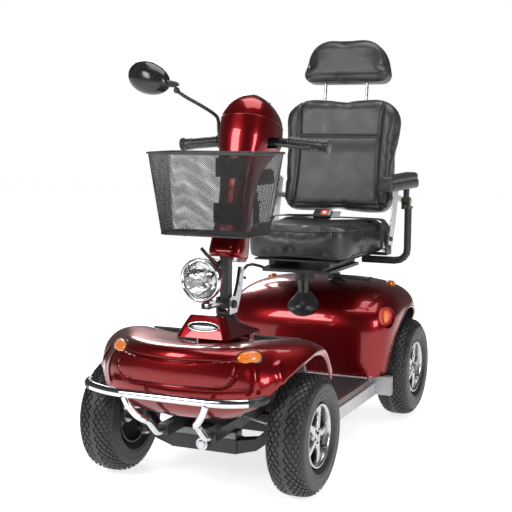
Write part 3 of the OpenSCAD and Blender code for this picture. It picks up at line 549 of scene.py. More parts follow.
def make_fairing():
    """The front shell: a fine grid through the outline curves, pressed, thickened and edged with lips."""
    rows = [spline(line, 22) for line in FAIRING]
    grid = []
    for j in range(len(rows[0])):
        across = [(-rows[i][j][0], rows[i][j][1], rows[i][j][2]) for i in range(6, 0, -1)]
        across += [rows[i][j] for i in range(7)]
        grid.append(spline(across, 22))
    body = Shape().add(loft(grid, closed=False, caps=False)).piece(
        "fairing", "chassis", [RED], "body_red", ("front_fairing",), fix=False)
    if body.data.polygons[len(body.data.polygons) // 3].normal.z < 0:
        body.data.flip_normals()
    displace(body, fairing_relief)
    thicken(body, 3)
    line_inside(body, WELL, (0, -420, 150))
    outer = spline(FAIRING[6], 13)
    trim = Shape()
    trim.add(tube(outer, 2.6, 10), mirrored=True)
    chin = [(-p[0], p[1], p[2]) for p in (FAIRING[i][0] for i in range(6, 0, -1))] + [FAIRING[i][0]
                                                                                      for i in range(7)]
    trim.add(tube(spline(chin, 10), 2.4, 10))
    trim.piece("fairing_lips", "chassis", [RED], "body_red")


def cowl_rings(inset=0.0):
    base = [(66, 66, -512, -288, 20, 300, 0), (84, 78, -530, -284, 20, 404, 0),
            (55, 64, -494, -288, 18, 471, -0.32)]
    rings = [slab_ring(a - inset, b - inset, c + inset, d - inset, r, z - inset, s)
             for a, b, c, d, r, z, s in base]
    out = []
    for lower, upper in zip(rings, rings[1:]):
        for k in range(14):
            t = k / 14
            bow = 1.6 * math.sin(PI * t)
            out.append([tuple(Vector(p).lerp(Vector(q),
                                             t) + Vector((math.copysign(bow, p[0]) if abs(p[0]) > 20 else 0,
                                                                     -bow if p[1] < -480 else 0, 0)))
                        for p, q in zip(lower, upper)])
    out.append(rings[-1])
    return out


def make_cowl():
    body = Shape().add(loft(cowl_rings())).piece("cowl", "chassis", [RED], "body_red", ("tiller_cowl",))
    mod = body.modifiers.new("edges", "BEVEL")
    mod.width, mod.segments, mod.limit_method, mod.angle_limit = 4.5 * MM, 3, "ANGLE", math.radians(40)
    bake_modifiers(body)
    under = [(-560, 200), (-560, 420), (-520, 411), (-470, 411), (-384, 406), (-240, 180), (-240, 100)]
    wedge = loft([[(x, y, z) for y, z in under] for x in (-120, 120)])
    post = rod(19, 300, 500, 40)
    carve(body, Shape().add(wedge), Shape().add(post, at=place((0, -366, 0))))
    oval = [(46 * c, 0, 13.5 * s) for c, s in around(64)]
    slope = place((0, -511.5, 442), x=-28.3)
    rim = tube([slope @ Vector(p) for p in oval + oval[:2]], 2.0, 10)
    face = loft([[slope @ Vector((x * s, y, z * s)) for x, _, z in oval] for s, y in
                 ((1, 2.5), (1, -0.6), (0.9, -1.6), (0.6, -2.1))])
    stripe = loft([[slope @ Vector((x * 0.72 * s, y, z * 0.2 * s)) for x, _, z in oval]
                   for s, y in ((1, -1.4), (1, -2.4), (0.8, -2.8))])
    Shape().add(face).add(rim, 1).add(stripe, 2).piece("cowl_emblem", "chassis", [EMBLEM, CHROME, ZINC],
                                                       "body_red")


def make_lenses():
    """Amber lenses on the fairing and shroud: the fairing's with ribs and a rubber base, the shroud's top ones
    with a rubber base.
    """
    out = Shape()
    at = place((187, -625, 393), z=34) @ place(x=62) @ place(z=8)
    power = 2 / 2.2

    def oval(w, h, z):
        return [(math.copysign(abs(c) ** power, c) * w, math.copysign(abs(s) ** power, s) * h, z)
                for c, s in around(64)]

    base = loft([oval(34.5, 21, -9), oval(36, 22.5, 2), oval(35.5, 22, 6), oval(32, 18.5, 7.5)])
    dome = [oval(31.5 * math.cos(a), 18 * math.cos(a), 6.5 + 9 * math.sin(a)) for a in
            (PI / 2 * k / 9 for k in range(9))]
    out.add(base, 1, at, True).add(loft(dome), 0, at, True)
    for k in range(-3, 4):
        w = 31.0 * math.sqrt(1 - (k / 4.6) ** 2)
        arch = [(w * math.sin(t) * 0.93, k * 4.4,
                 6.5 + 9 * math.cos(t) * math.sqrt(max(0.05, 1 - (k / 4.3) ** 2)))
                for t in (PI * (j / 16 - 0.5) for j in range(17))]
        out.add(tube(arch, 1.1, 8), 0, at, True)
    for s in (1, -1):
        top = place((s * 222, 508, 424))
        out.add(turned([(0, 30), (9, 29.3), (14.5, 26), (16.8, 20), (17, 4), (17, 0), (0, 0)], 40), 0, top)
        out.add(turned([(17, -2), (20, -2), (20.5, 4), (19, 10), (17, 11)], 40, True), 1, top)
        side = place((s * 268, 299, 362)) @ place(z=s * 52) @ place(x=90)
        out.add(loft([[(10.8 * q * c, 24 * q * e, z) for c, e in around(48)]
                      for q, z in ((1, -1), (1, 4), (0.9, 6), (0.6, 7))]), 0, side)
    out.piece("lenses", "chassis", [AMBER, RUBBER], "amber", ("indicator_lenses",))


# ---------------------------------------------------------------- rear shroud

# Levels of the shroud: height, half width, front, back, squareness
SHROUD = [(167, 284, 220, 636, 4.6), (215, 291, 216, 646, 4.6), (280, 297, 215, 654, 4.4),
          (330, 302, 217, 658, 4.2),
          (365, 303, 226, 659, 3.9), (393, 295, 244, 653, 3.6), (416, 277, 272, 642, 3.3),
          (434, 250, 308, 626, 3),
          (447, 212, 350, 602, 2.8), (456, 158, 396, 572, 2.7), (461, 80, 446, 536, 2.5)]


def shroud_half_width(y, z, levels):
    l = min(levels, key=lambda q: abs(q[0] - z))
    t = (y - (l[2] + l[3]) / 2) / ((l[3] - l[2]) / 2)
    return l[1] * max(0.0, 1 - abs(t) ** l[4]) ** (1 / l[4])


def side_lamp(s):
    """The place of the round lamp at the shroud's front corner, on the side s."""
    return place((s * 268, 299, 360)) @ place(z=s * 52) @ place(x=90)


def make_shroud():
    """The rear shell with its wheel arches, lips, side lamps and tail lamps."""
    levels = spline(SHROUD, 7)
    n = 168
    rings = [oval_ring(w, front, back, power, z, count=n) for z, w, front, back, power in levels]
    verts, faces = loft(rings, caps=False)
    top = len(verts)
    verts.append(Vector((0, 491, 462.3)))
    m = len(rings)
    faces += [((m - 1) * n + k, (m - 1) * n + (k + 1) % n, top) for k in range(n)]
    body = Shape().add((verts, faces)).piece("shroud", "chassis", [RED], "body_red", ("rear_shroud",),
                                             fix=False)
    if body.data.polygons[20 * n].normal.dot(Vector((0, 1, 0))) * (rings[20][n // 4][1] - 430) < 0:
        body.data.flip_normals()
    thicken(body, 4)
    line_inside(body, BLACK, (0, 430, 250), 1.5)
    arch = Matrix.Diagonal((1, 0.87, 1, 1)) @ place(y=90)
    drum = rod(208, 170, 400, 96)
    arches = Shape()
    for flip in (Matrix.Identity(4), FLIP):
        arches.add(drum, at=flip @ Matrix.Translation((0, 472, 165)) @ arch)
    holes = Shape().add(rod(24, 300, 500, 40), at=place((0, 249, 0)))
    holes.add(rod(16, 400, 500, 32), at=place((60, 412, 0)))
    for s in (1, -1):
        holes.add(rod(18, 400, 480, 32), at=place((s * 222, 508, 0)))
        holes.add(rod(34, -30, 30, 48), at=side_lamp(s))
    low = Shape().add(slab((-400, 560, 150), (400, 700, 226), 1))
    carve(body, arches, low, holes)
    lips = Shape()
    for s in (1, -1):
        line = []
        for k in range(49):
            a = math.radians(-4 + 188 * k / 48)
            y, z = 472 + 0.87 * 208 * math.cos(a), 165 + 208 * math.sin(a)
            if z > 168 and not (y > 560 and z < 228):
                line.append((s * (shroud_half_width(y, z, levels) - 1.5), y, z))
        lips.add(tube(spline(line, 2), 3.6, 10))
    hem = [(x, y, 168.5) for x, y, _ in oval_ring(283, 221, 636, 4.6, 168, count=96) if y < 330]
    lips.add(tube(sorted(hem), 2.6, 8))
    lips.piece("shroud_lips", "chassis", [RED], "body_red")
    lamp = Shape()
    for s in (1, -1):
        at = side_lamp(s)
        lamp.add(turned([(0, -11), (33.5, -11), (33.5, -3), (31, -1.5), (24, -0.5), (0, 1.5)], 56), 0, at)
        lamp.add(turned([(33.2, -8), (36.5, 2), (35.5, 4.6), (33, 4), (31.5, -4)], 56, True), 1, at)
        lamp.add(slab((s * 180 - 30, 654.5, 300), (s * 180 + 30, 663, 340), 4), 0)
        lamp.add(slab((s * 180 - 34, 652, 296), (s * 180 + 34, 658.5, 344), 3), 2)
    lamp.piece("tail_lights", "chassis", [LAMP_RED, RED_DARK, BLACK], "lamp_red", ("tail_lamps",))
    collar = turned([(12, 470), (15, 470), (19, 466), (24, 461), (24, 456), (12, 456)], 32, True)
    Shape().add(collar, at=place((60, 412, 0))).piece("rest_collar", "chassis", [RED_DARK], "boot_rubber")


def make_boots():
    out = Shape()
    seat = [(20.4, 431), (24, 433), (27, 430), (31, 424), (40, 414), (50, 403), (55.5, 394), (57, 386),
            (54.5, 378),
            (48, 370), (38, 361), (26, 354), (20.4, 352)]
    out.add(turned([(r, z) for r, z in spline([(a, b) for a, b in seat], 3)], 72, True),
            at=place((0, 251, 0)))
    stub = [(12, 469), (15, 469), (17, 465), (26, 462), (33.5, 458), (34, 449), (31, 444), (12, 444)]
    out.add(turned(stub, 40, True), at=place((60, 412, 0)))
    wave = [(18.2, 459), (22, 458)]
    for k in range(5):
        wave += [(24.5 + 3.4 * k, 455 - 5.2 * k), (27 + 3.5 * k, 452.8 - 5.4 * k)]
    wave += [(43, 427), (42, 424), (18.2, 424)]
    out.add(turned(wave, 56, True), at=place((0, -366, 0)))
    out.piece("boots", "chassis", [RUBBER], "boot_rubber", ("post_boots",), sharp=60)


# ---------------------------------------------------------------- deck mat, bumper

def ribbed_strip(x0, x1, path, pitch=12.0):
    """A mat with ribs along its path; path is (y, z, ny, nz) stations."""
    count = max(2, round((x1 - x0) / pitch))
    step = (x1 - x0) / count
    section = []
    for k in range(count):
        a = x0 + k * step
        section += [(a + 0.02 * step, 1.6), (a + 0.24 * step, 1.6), (a + 0.34 * step, 4.0),
                    (a + 0.9 * step, 4.0)]
    section += [(x1, 1.6), (x1, 0.0), (x0, 0.0)]
    rings = [[(x, y + ny * h, z + nz * h) for x, h in section] for y, z, ny, nz in path]
    return loft(rings)


def make_mat():
    out = Shape()
    out.add(ribbed_strip(-232, 232, [(y, 165, 0, 1) for y in (-238, -120, 0, 110, 211)]))
    slope = math.atan2(398.3 - 173.8, 373.8 - 250.8)
    ny, nz = math.sin(slope), math.cos(slope)
    run = [(-250.8 + (-373.8 + 250.8) * t, 173.8 + (398.3 - 173.8) * t, ny, nz) for t in (0, 0.3, 0.6, 1)]
    verts, faces = ribbed_strip(90, 228, run)
    verts = [Vector((v.x, v.y + ny * 3.6, v.z + nz * 3.6)) for v in verts]
    out.add((verts, faces), mirrored=True)
    back = loft([[(x, y + dy, z + dz) for x, y, z in ((90, 0, 0), (228, 0, 0), (228, ny * 4.4, nz * 4.4),
                                                    (90, ny * 4.4, nz * 4.4))] for dy, dz in
                 ((-250.8, 173.8), (-373.8, 398.3))])
    out.add(back, mirrored=True)
    lip = [(x, -373 + 3, 399) for x in (90, 130, 180, 228)]
    out.add(tube(lip, 5.2, 12), mirrored=True)
    out.piece("deck_mat", "chassis", [MAT], "mat_rubber", ("floor_mat",), sharp=25)
    trim = Shape().add(slab((-236, 209, 165.5), (236, 219, 172), 2))
    trim.piece("deck_trim", "chassis", [RAIL], "rail_silver")
    marker = Shape().add(slab((247.5, -253, 108), (251.6, -222, 141), 1.5), mirrored=True)
    marker.piece("side_markers", "chassis", [REFLECTOR], "lamp_red")


def make_bumper():
    out = Shape()
    half = [(0, -736, 295), (60, -736, 295), (110, -736, 295), (135, -735.5, 295), (170, -732, 296),
            (205, -724, 298), (228, -715.5, 299.6)]
    line = [(-x, y, z) for x, y, z in half[:0:-1]] + half
    out.add(tube(spline(line, 6), 11.5, 32))
    support = [(118, -736, 286), (108, -732, 264), (92, -724, 240), (78, -712, 226), (73, -690, 214),
               (72, -664, 190), (72, -646, 176), (72, -630, 172), (72, -612, 172)]
    out.add(tube(spline(support, 6), 9.8, 24), mirrored=True)
    for s in (1, -1):
        cap = spline([(s * 226, -716.5, 299.5), (s * 240, -708, 300.8), (s * 252, -692, 302.4),
                      (s * 258, -672, 303.6)], 5)
        out.add(tube(cap + [(s * 258.6, -668.5, 303.8)], [11.6] + [12.3] * (len(cap) - 2) + [11, 7], 28), 1)
        out.add(turned([(0, -3), (4.5, -2), (5.5, 0), (4.5, 2), (0, 3)], 12), 0,
                place((s * 250, -700, 302.5), z=s * 50))
        out.add(tube([(s * 122, -737, 283.5), (s * 116, -735.5, 287)], [10.4, 11], 24), 0)
    out.piece("bumper", "chassis", [CHROME, PLASTIC], "chrome_bar", ("bumper_bar",))


# ---------------------------------------------------------------- wheels

# Distances of the tread's rows from the crown, and the number of blocks round the tyre
ROWS = (6, 15, 24, 32, 39.5, 46.5, 53, 59)
PITCHES = 40


def tyre_arc():
    """Section points (radius, sideways) from the crown down one side, with the arc length."""
    out, length = [], 0.0
    for k in range(181):
        a = math.radians(k * 0.85)
        e = 2 / 2.8
        c, s = math.cos(a), math.sin(a)
        p = (121.5 + 43.5 * math.copysign(abs(c) ** e, c), 55 * abs(s) ** e)
        if out:
            length += math.dist(p, out[-1][1])
        out.append((length, p))
    return out


ARC = tyre_arc()


def tread_point(u, v, depth=0.0):
    """Point at pitch u and distance v from the crown, sunk by depth."""
    d = abs(v)
    for (l0, p0), (l1, p1) in zip(ARC, ARC[1:]):
        if l1 >= d:
            t = (d - l0) / (l1 - l0)
            r, w = p0[0] + (p1[0] - p0[0]) * t, p0[1] + (p1[1] - p0[1]) * t
            tr, tw = p1[0] - p0[0], p1[1] - p0[1]
            break
    n = math.hypot(tr, tw)
    nr, nw = tw / n, -tr / n
    r, w = r - nr * depth, w - nw * depth
    a = 2 * PI * u / PITCHES
    return Vector((r * math.cos(a), r * math.sin(a), math.copysign(w, v)))


def tyre_mesh():
    """A zigzag crown rib, staggered diamond blocks on both shoulders, lined sidewalls and the bead."""
    verts, faces = [], []
    index = {}
    half_pitches = 2 * PITCHES

    def vert(u, v, depth):
        key = (round((u % PITCHES) * 4096), round(v * 64), round(depth * 64))
        if key not in index:
            index[key] = len(verts)
            verts.append(tread_point(u, v, depth))
        return index[key]

    def row(j):
        return ROWS[j] if j >= 0 else -ROWS[-1 - j]

    deep, gap, lean = 4.2, 0.24, 0.27
    def bridge(a, b):
        for k in range(half_pitches):
            k2 = (k + 1) % half_pitches
            faces.append((a[k], a[k2], b[k2], b[k]))

    for k in range(half_pitches):
        u0, u1 = k / 2, (k + 1) / 2
        lo0, hi0 = (row(-2), row(0)) if k % 2 == 0 else (row(-1), row(1))
        lo1, hi1 = (row(-1), row(1)) if k % 2 == 0 else (row(-2), row(0))
        a, b = [[(lo, deep), (lo + 1.5, deep), (lo + 2.1, 0), (hi - 2.1, 0), (hi - 1.5, deep), (hi, deep)]
                for lo, hi in ((lo0, hi0), (lo1, hi1))]
        for (v0, d0), (v1, d1), (w0, e0), (w1, e1) in zip(a, a[1:], b, b[1:]):
            faces.append((vert(u0, v0, d0), vert(u1, w0, e0), vert(u1, w1, e1), vert(u0, v1, d1)))
    last = len(ROWS) - 1
    for side in (1, -1):
        for j in range(1, last):
            for k in range(PITCHES):
                odd = j % 2 if side > 0 else (j + 1) % 2
                mid_u = k + (0 if odd else 0.5)
                jm = j if side > 0 else -1 - j
                v_in, v_mid, v_out = (row(jm - side), row(jm), row(jm + side))
                corner = [(mid_u, v_in), (mid_u + 0.5, v_mid), (mid_u, v_out), (mid_u - 0.5, v_mid)]
                cu, cv = mid_u, (v_in + v_out) / 2
                fade = 1 - 0.5 * smoothstep(3, last, j)
                inner = [(cu + (u - cu) * (1 - gap), cv + (v - cv) * (1 - gap)) for u, v in corner]
                upper = [(cu + (u - cu) * (1 - lean - 0.06), cv + (v - cv) * (1 - lean - 0.06))
                         for u, v in corner]
                o = [vert(u, v, deep) for u, v in corner]
                b = [vert(u, v, deep) for u, v in inner]
                t = [vert(u, v, deep * (1 - fade)) for u, v in upper]
                for i in range(4):
                    i2 = (i + 1) % 4
                    faces.append((o[i], o[i2], b[i2], b[i]))
                    faces.append((b[i], b[i2], t[i2], t[i]))
                faces.append(tuple(t))
        sidewall = [(ROWS[-1] + 2.5, 0.6), (ROWS[-1] + 5, 0.0), (72, 0.0), (78, 0.4), (79.5, 1.0), (81, 0.4),
                    (88, 0.5), (94, 0.3), (95.2, 1.2), (96.6, 0.3), (102, 0.2)]
        odd = last % 2 if side > 0 else (last + 1) % 2
        ring = [vert(k / 2, side * ROWS[last if (k % 2 == 1) == bool(odd) else last - 1], deep)
                for k in range(half_pitches)]
        for v, d in sidewall:
            new = [vert(k / 2, side * v, d) for k in range(half_pitches)]
            bridge(ring, new)
            ring = new
        bead = list(range(len(verts), len(verts) + half_pitches))
        verts += [Vector((82.2 * c, 82.2 * s, side * 32)) for c, s in around(half_pitches)]
        bridge(ring, bead)
        if side > 0:
            first = bead
        else:
            bridge(first, bead)
    return verts, faces


def rim_shape():
    out = Shape()
    face = [(83.4, 37), (86.4, 40.5), (87, 44), (85.4, 46), (82, 46.2), (79.4, 44), (77.8, 39), (76.4, 30),
            (75.6, 26)]
    inner = [(75.6, 26), (74.6, 0), (75.4, -38), (78, -43.5), (83, -44), (84, -42), (82, -38), (82, 37),
             (83.4, 37)]
    out.add(turned(face, 96), 0)
    out.add(turned(inner, 96), 1)
    for k in range(5):
        rings = []
        for r, half, mid, thick in ((18, 12, 31, 8), (30, 11, 33, 7), (44, 9.5, 33.5, 6), (58, 10, 32.5, 6),
                                    (69, 13, 31, 6.5), (77, 17, 30, 7)):
            rings.append([(r, half * math.copysign(abs(c) ** 0.55, c),
                           mid + thick * math.copysign(abs(s) ** 0.7, s))
                          for c, s in around(20)])
        out.add(loft([list(q) for q in zip(*[spline(list(p), 3) for p in zip(*rings)])]), 0,
                place(z=72 * k + 18))
        out.add(turned([(0, 40.8), (3.4, 40.8), (4.2, 39.8), (4.2, 33), (0, 33)], 12), 2,
                place((19 * math.cos(math.radians(72 * k)), 19 * math.sin(math.radians(72 * k)), 0)))
    out.add(turned([(0, 44), (7, 43.7), (11, 42), (12.5, 39.5), (26, 38.5), (28, 36), (28.4, 20), (27, -24),
                    (0, -24)],
                   48), 0)
    out.add(tube([(70, 0, 30), (66, 0, 37), (64, 0, 44)], [3, 2.6, 2.2], 12), 2, place(z=52))
    return out


def make_wheels():
    tread = tyre_mesh()
    rim = rim_shape()
    for s, y, side, end, short in ((1, -472, "left", "front", "fl"), (-1, -472, "right", "front", "fr"),
                                   (1, 472, "left", "rear", "rl"), (-1, 472, "right", "rear", "rr")):
        at = Matrix.Translation((s * 281.5, y, 165)) @ Matrix.Rotation(s * PI / 2, 4, "Y")
        Shape().add(tread, at=at).piece(f"tread_{short}", f"wheel_{short}", [TYRE], "tyre_rubber",
                                        (f"tyre_{end}_{side}",), sharp=30)
        copy = Shape().add((rim.verts, rim.faces), list(rim.tags), at)
        copy.piece(f"alloy_{short}", f"wheel_{short}", [ALLOY, BLACK, PLASTIC], "rim_alloy",
                   (f"rim_{end}_{side}",))


# ---------------------------------------------------------------- tiller

ON_TILLER = place((0, -350, 610), x=-18)
# Levels of the tiller's cover and cap: height, half width, front, back, squareness
COVER = [(0, 46, 38, 34, 4), (14, 53, 44, 40, 4), (60, 51, 43, 38, 3.6), (170, 47, 42, 38, 3),
         (260, 57, 50, 52, 2.6),
         (316, 72, 60, 88, 2.5), (358, 84, 66, 128, 2.4), (412, 84, 64, 124, 2.3)]
CAP = [(412, 84, 64, 124, 2.3), (436, 78, 58, 112, 2.3), (458, 65, 47, 92, 2.3), (475, 48, 32, 66, 2.2),
       (486, 28, 16, 38, 2.2), (491, 14, 4, 18, 2)]
DASH = place((0, -128, 1002), x=31)


def tiller_shell(name, levels, node, cuts, body="tiller", per=6):
    rings = [[ON_TILLER @ Vector(p) for p in oval_ring(l[1], -l[2], l[3], l[4], l[0], 3.2, 112)]
             for l in spline(levels, per)]
    shell = Shape().add(loft(rings)).piece(name, body, [RED], "body_red", (node,))
    inner = [[ON_TILLER @ Vector(p)
              for p in oval_ring(max(4, l[1] - 3), -l[2] + 3, l[3] - 3, l[4], l[0] + dz, 3.2, 80)]
             for l, dz in zip(levels, [3] + [0] * (len(levels) - 2) + [-3])]
    dash = Shape().add(slab((-120, -6, -120), (120, 120, 120), 0.5), at=DASH)
    carve(shell, Shape().add(loft(inner)), dash, *cuts)


def make_tiller():
    stem = Shape().add(slab((-14.5, -380.5, 560), (14.5, -336, 660), 1))
    bar = Shape().add(rod(14, -120, 120, 32), at=place((0, -176, 940), y=90))
    slot = Shape().add(slab((-120, -252, 922), (120, -188, 952), 3))
    pins = Shape()
    for s in (1, -1):
        for long, y, z in ((60, -340, 868), (50, -370, 740)):
            pins.add(rod(6, 0, long, 16), at=place((s * 10, y, z), x=-90))
    horn = Shape().add(turned([(0, -30), (12, -30), (12, 30), (0, 30)], 32),
                       at=DASH @ place((22, 0, 24), x=90))
    tiller_shell("tiller_shell", COVER, "tiller_cover", (stem, bar, slot, pins, horn))
    tiller_shell("tiller_dome", CAP, "tiller_cap", (horn,))
    seam = [ON_TILLER @ Vector(p) for p in oval_ring(84.1, -64.1, 124.1, 2.3, 411.5, 3.2, 112)]
    kept = [p for p in seam if (DASH.inverted() @ p).y < -7]
    start = max(range(len(kept)), key=lambda i: (kept[i] - kept[i - 1]).length)
    kept = kept[start:] + kept[:start]
    Shape().add(tube(kept, 0.8, 8)).piece("tiller_seam", "tiller", [RED_DARK], "body_red")
    foot = [ON_TILLER @ Vector(p) for p in oval_ring(47.5, -39.5, 35.5, 4, 1.5, 3.2, 96)]
    Shape().add(tube(foot + foot[:1], 2.4, 10, caps=False)).piece("tiller_foot_bead", "tiller", [RED],
                                                                  "body_red")


def make_dash():
    out = Shape()
    outline = [(-34, -44), (34, -44), (48, -28), (48, 12), (34, 40), (-34, 40), (-48, 12), (-48, -28)]
    smooth = []
    for i, p in enumerate(outline):
        a, b = outline[i - 1], outline[(i + 1) % 8]
        for t in (0.3, 0.18, 0.08):
            smooth.append((p[0] + (a[0] - p[0]) * t, p[1] + (a[1] - p[1]) * t))
        for t in (0.08, 0.18, 0.3):
            smooth.append((p[0] + (b[0] - p[0]) * t, p[1] + (b[1] - p[1]) * t))
    out.add(loft([[DASH @ Vector((x * s, y, z * s)) for x, z in smooth] for s, y in
                  ((1, -5.8), (1, -1.6), (0.97, -1.0), (0.9, -1.0), (0.88, -2.0), (0.5, -2.0))]))
    for k in range(5):
        out.add(slab((-12 + k * 8, -2.2, 8), (-7 + k * 8, -0.4, 12), 0.8), 1 if k < 3 else 2, DASH)
    for r, x, y, z, steps, wire, tag in ((9.5, 22, -0.6, 24, 40, 1.4, 3), (17.5, -4, -1.2, -20, 56, 0.8, 1)):
        ring = [DASH @ Vector((r * c + x, y, r * s + z)) for c, s in around(steps)]
        out.add(tube(ring + ring[:1], wire, 8, caps=False), tag)
    out.piece("dash", "tiller", [BLACK_GLOSS, PALE, BUTTON, CHROME], "dash_black", ("dash_panel",))
    knob = Shape()
    for c, s in around(24):
        knob.add(tube([(16 * c - 4, 2, 16 * s - 20), (15.6 * c - 4, 13.5, 15.6 * s - 20)], 1.1, 8), 0, DASH)
    knob.add(slab((-5, 14.3, -19), (-3, 15.4, -6), 0.4), 1, DASH)
    knob.piece("dial_ribs", "dial", [PLASTIC, PALE], "control_black")


def make_grips():
    for s, tag in ((1, "left"), (-1, "right")):
        a, b = Vector((108, -176, 940)), Vector((235, -176, 929))
        d = (b - a).normalized()
        profile = []
        for k in range(64):
            t = 7 + (121 - 7) * k / 63
            wave = 0.9 * math.cos(2 * PI * (t - 7) / 9.5) if 12 < t < 92 else (1.0 if t >= 92 else 0.3)
            profile.append((t, 16.6 + 0.5 * wave + (0.8 if 95 < t < 116 else 0)))
        profile = [(5.2, 11)] + [(5.4, 19.5), (8, 19.5), (9, 17)] + profile[2:] + [(122, 20.5), (126.5, 21),
                                                                                   (129, 20),
                                                                                  (130.4, 15), (130.6, 0.5)]
        path = [a + d * t for t, _ in profile]
        body = tube([(p.x * s, p.y, p.z) for p in path], [r for _, r in profile], 40)
        Shape().add(body).piece(f"grip_{tag}", "tiller", [RUBBER], "grip_rubber", ("grips",), sharp=50)


def make_headlamp():
    lamp = place((0, -526, 572), x=90)
    bezel = [(49.5, -1), (50, 4), (51.5, 8), (54, 10.4), (57, 10), (59.6, 7), (60.8, 3), (60, 0), (57.5, -3),
             (52, -4)]
    Shape().add(turned(spline(bezel, 2), 96, True), at=lamp).add(
        slab((-5, -3, -64), (5, 6, -58), 1.5), 0, lamp @ place(x=-90)).piece(
            "lamp_bezel", "headlamp", [CHROME], "lamp_chrome", ("headlamp_bezel",))
    lens = [(0, 11.5), (14, 11), (28, 9.4), (40, 7.2), (47, 5.2), (50, 3.8), (50, 2.6), (44, 4.4), (28, 7.6),
            (0, 9.8)]
    glass = Shape().add(turned(lens, 72), at=lamp)
    glass.piece("lamp_lens", "headlamp", [GLASS], "lamp_glass", ("headlamp_lens",))
    bowl = [(50, 1), (47, -8), (40, -22), (30, -34), (18, -42), (8, -45), (0, -45.5)]
    Shape().add(turned(spline(bowl, 2), 72), at=lamp).piece("lamp_bowl", "headlamp", [BOWL], "lamp_chrome",
                                                            fix=False)
    bulb = [(0, -10), (4, -11), (7.5, -15), (8.5, -20), (7, -27), (5, -31), (5, -44), (0, -44)]
    Shape().add(turned(spline(bulb, 3), 32), at=lamp).add(
        turned([(9, -42), (11, -40), (12, -34), (10, -33), (6, -38)], 32, True), 1, lamp).piece(
            "lamp_bulb", "headlamp", [PALE, CHROME], "lamp_glass")
    shell = [(54, -1), (58.6, -2), (58.8, -6), (57.4, -15), (54.5, -26), (50, -38), (44, -49), (36, -58.5),
             (26, -65),
             (14, -69), (0, -70)]
    hood = turned([(r, z) for r, z in spline(shell, 2)], 80)
    foot = slab((-8.4, -500.5, 502), (8.4, -483.5, 523), 2.5)
    out = Shape().add(hood, 0, lamp).add(foot, 1)
    out.add(rod(7, -9, 9, 6), 2, place((0, -492, 508), y=90) @ place((0, 0, 13)))
    out.piece("lamp_shell", "headlamp", [RED, BLACK, ZINC], "body_red", ("headlamp_shell",))


def make_mirror():
    at = place((-279, -300, 1122), y=18) @ place(x=90)

    def egg(q, z):
        return [(70 * q * c * (1 - 0.06 * c), 47 * q * s * (1 - 0.14 * c), z) for c, s in around(72)]

    body = [(-9.6, 0.86), (-11, 0.9), (-12, 0.94), (-11.4, 0.98), (-8, 1.0), (-4, 1.0), (2, 0.975),
            (8, 0.925),
            (14, 0.845), (19, 0.745), (24, 0.605), (27.5, 0.46), (30, 0.28), (31, 0.1)]
    Shape().add(loft([egg(q, z) for z, q in body]), at=at).piece(
        "mirror_shell", "mirror", [BLACK_GLOSS], "mirror_black", ("mirror_head",), sharp=50)
    neck = spline([(-196.5, -286.5, 1098.5), (-199, -288, 1103.5), (-208, -292, 1106), (-222, -299, 1108)], 6)
    Shape().add(tube(neck, [8.4 + 2.4 * k / len(neck) for k in range(len(neck))], 20)).piece(
        "mirror_neck", "mirror", [PLASTIC], "mirror_black")
    Shape().add(loft([egg(q, z) for z, q in ((-9.4, 0.86), (-10.4, 0.86), (-10.7, 0.84), (-10.8, 0.4))]),
                at=at).piece(
        "mirror_pane", "mirror", [MIRROR], "mirror_black")
    out = Shape()
    arm = [(-104, -188, 950), (-105, -194, 970), (-105, -198, 1000), (-112, -206, 1018), (-140, -236, 1043),
           (-175, -268, 1068), (-194, -284, 1084)]
    out.add(tube(spline(arm, 6), 5.2, 16))
    out.add(turned([(0, -9.5), (6, -8), (9.2, -2), (9.2, 2), (6, 8), (0, 9.5)], 24), 0,
            place((-197, -287, 1088)))
    out.add(turned([(11.1, -5.6), (17, -5.6), (18.2, -4.4), (18.2, 4.4), (17, 5.6), (11.1, 5.6)], 40,
                   True), 1,
            place((-104.4, -176, 940), y=90))
    out.add(turned([(4.4, 0), (8.2, 0), (8.2, 14), (6.4, 17), (4.4, 17)], 24, True), 1,
            place((-104, -187.5, 946), x=-8))
    out.piece("mirror_stem", "mirror_stalk", [BLACK, PLASTIC], "frame_black", ("mirror_arm",))


# ---------------------------------------------------------------- basket

def basket_ring(t):
    a, b = (134, 148, -522, -378, 30, 690), (159, 175, -552, -346, 32, 914)
    wf, wr, y0, y1, r, z = (p + (q - p) * t for p, q in zip(a, b))
    return slab_ring(wf, wr, y0, y1, r, z, steps=8)


def evenly(ring, count):
    """count points at equal spacing round a closed ring."""
    pts = [Vector(p) for p in ring]
    steps = [(pts[(i + 1) % len(pts)] - p).length for i, p in enumerate(pts)]
    total, out, i, used = sum(steps), [], 0, 0.0
    for k in range(count):
        want = total * k / count
        while used + steps[i] < want:
            used += steps[i]
            i += 1
        out.append(pts[i].lerp(pts[(i + 1) % len(pts)], (want - used) / steps[i] if steps[i] else 0))
    return out


def diamond_net(rings):
    """Diamond cells over rings of an even count: corners at alternate points."""
    n, faces = len(rings[0]), []
    verts = [p for r in rings for p in r]
    for j in range(len(rings) - 2):
        for k in range(j % 2, n, 2):
            faces.append((j * n + k, (j + 1) * n + (k + 1) % n, (j + 2) * n + k, (j + 1) * n + (k - 1) % n))
    return verts, faces


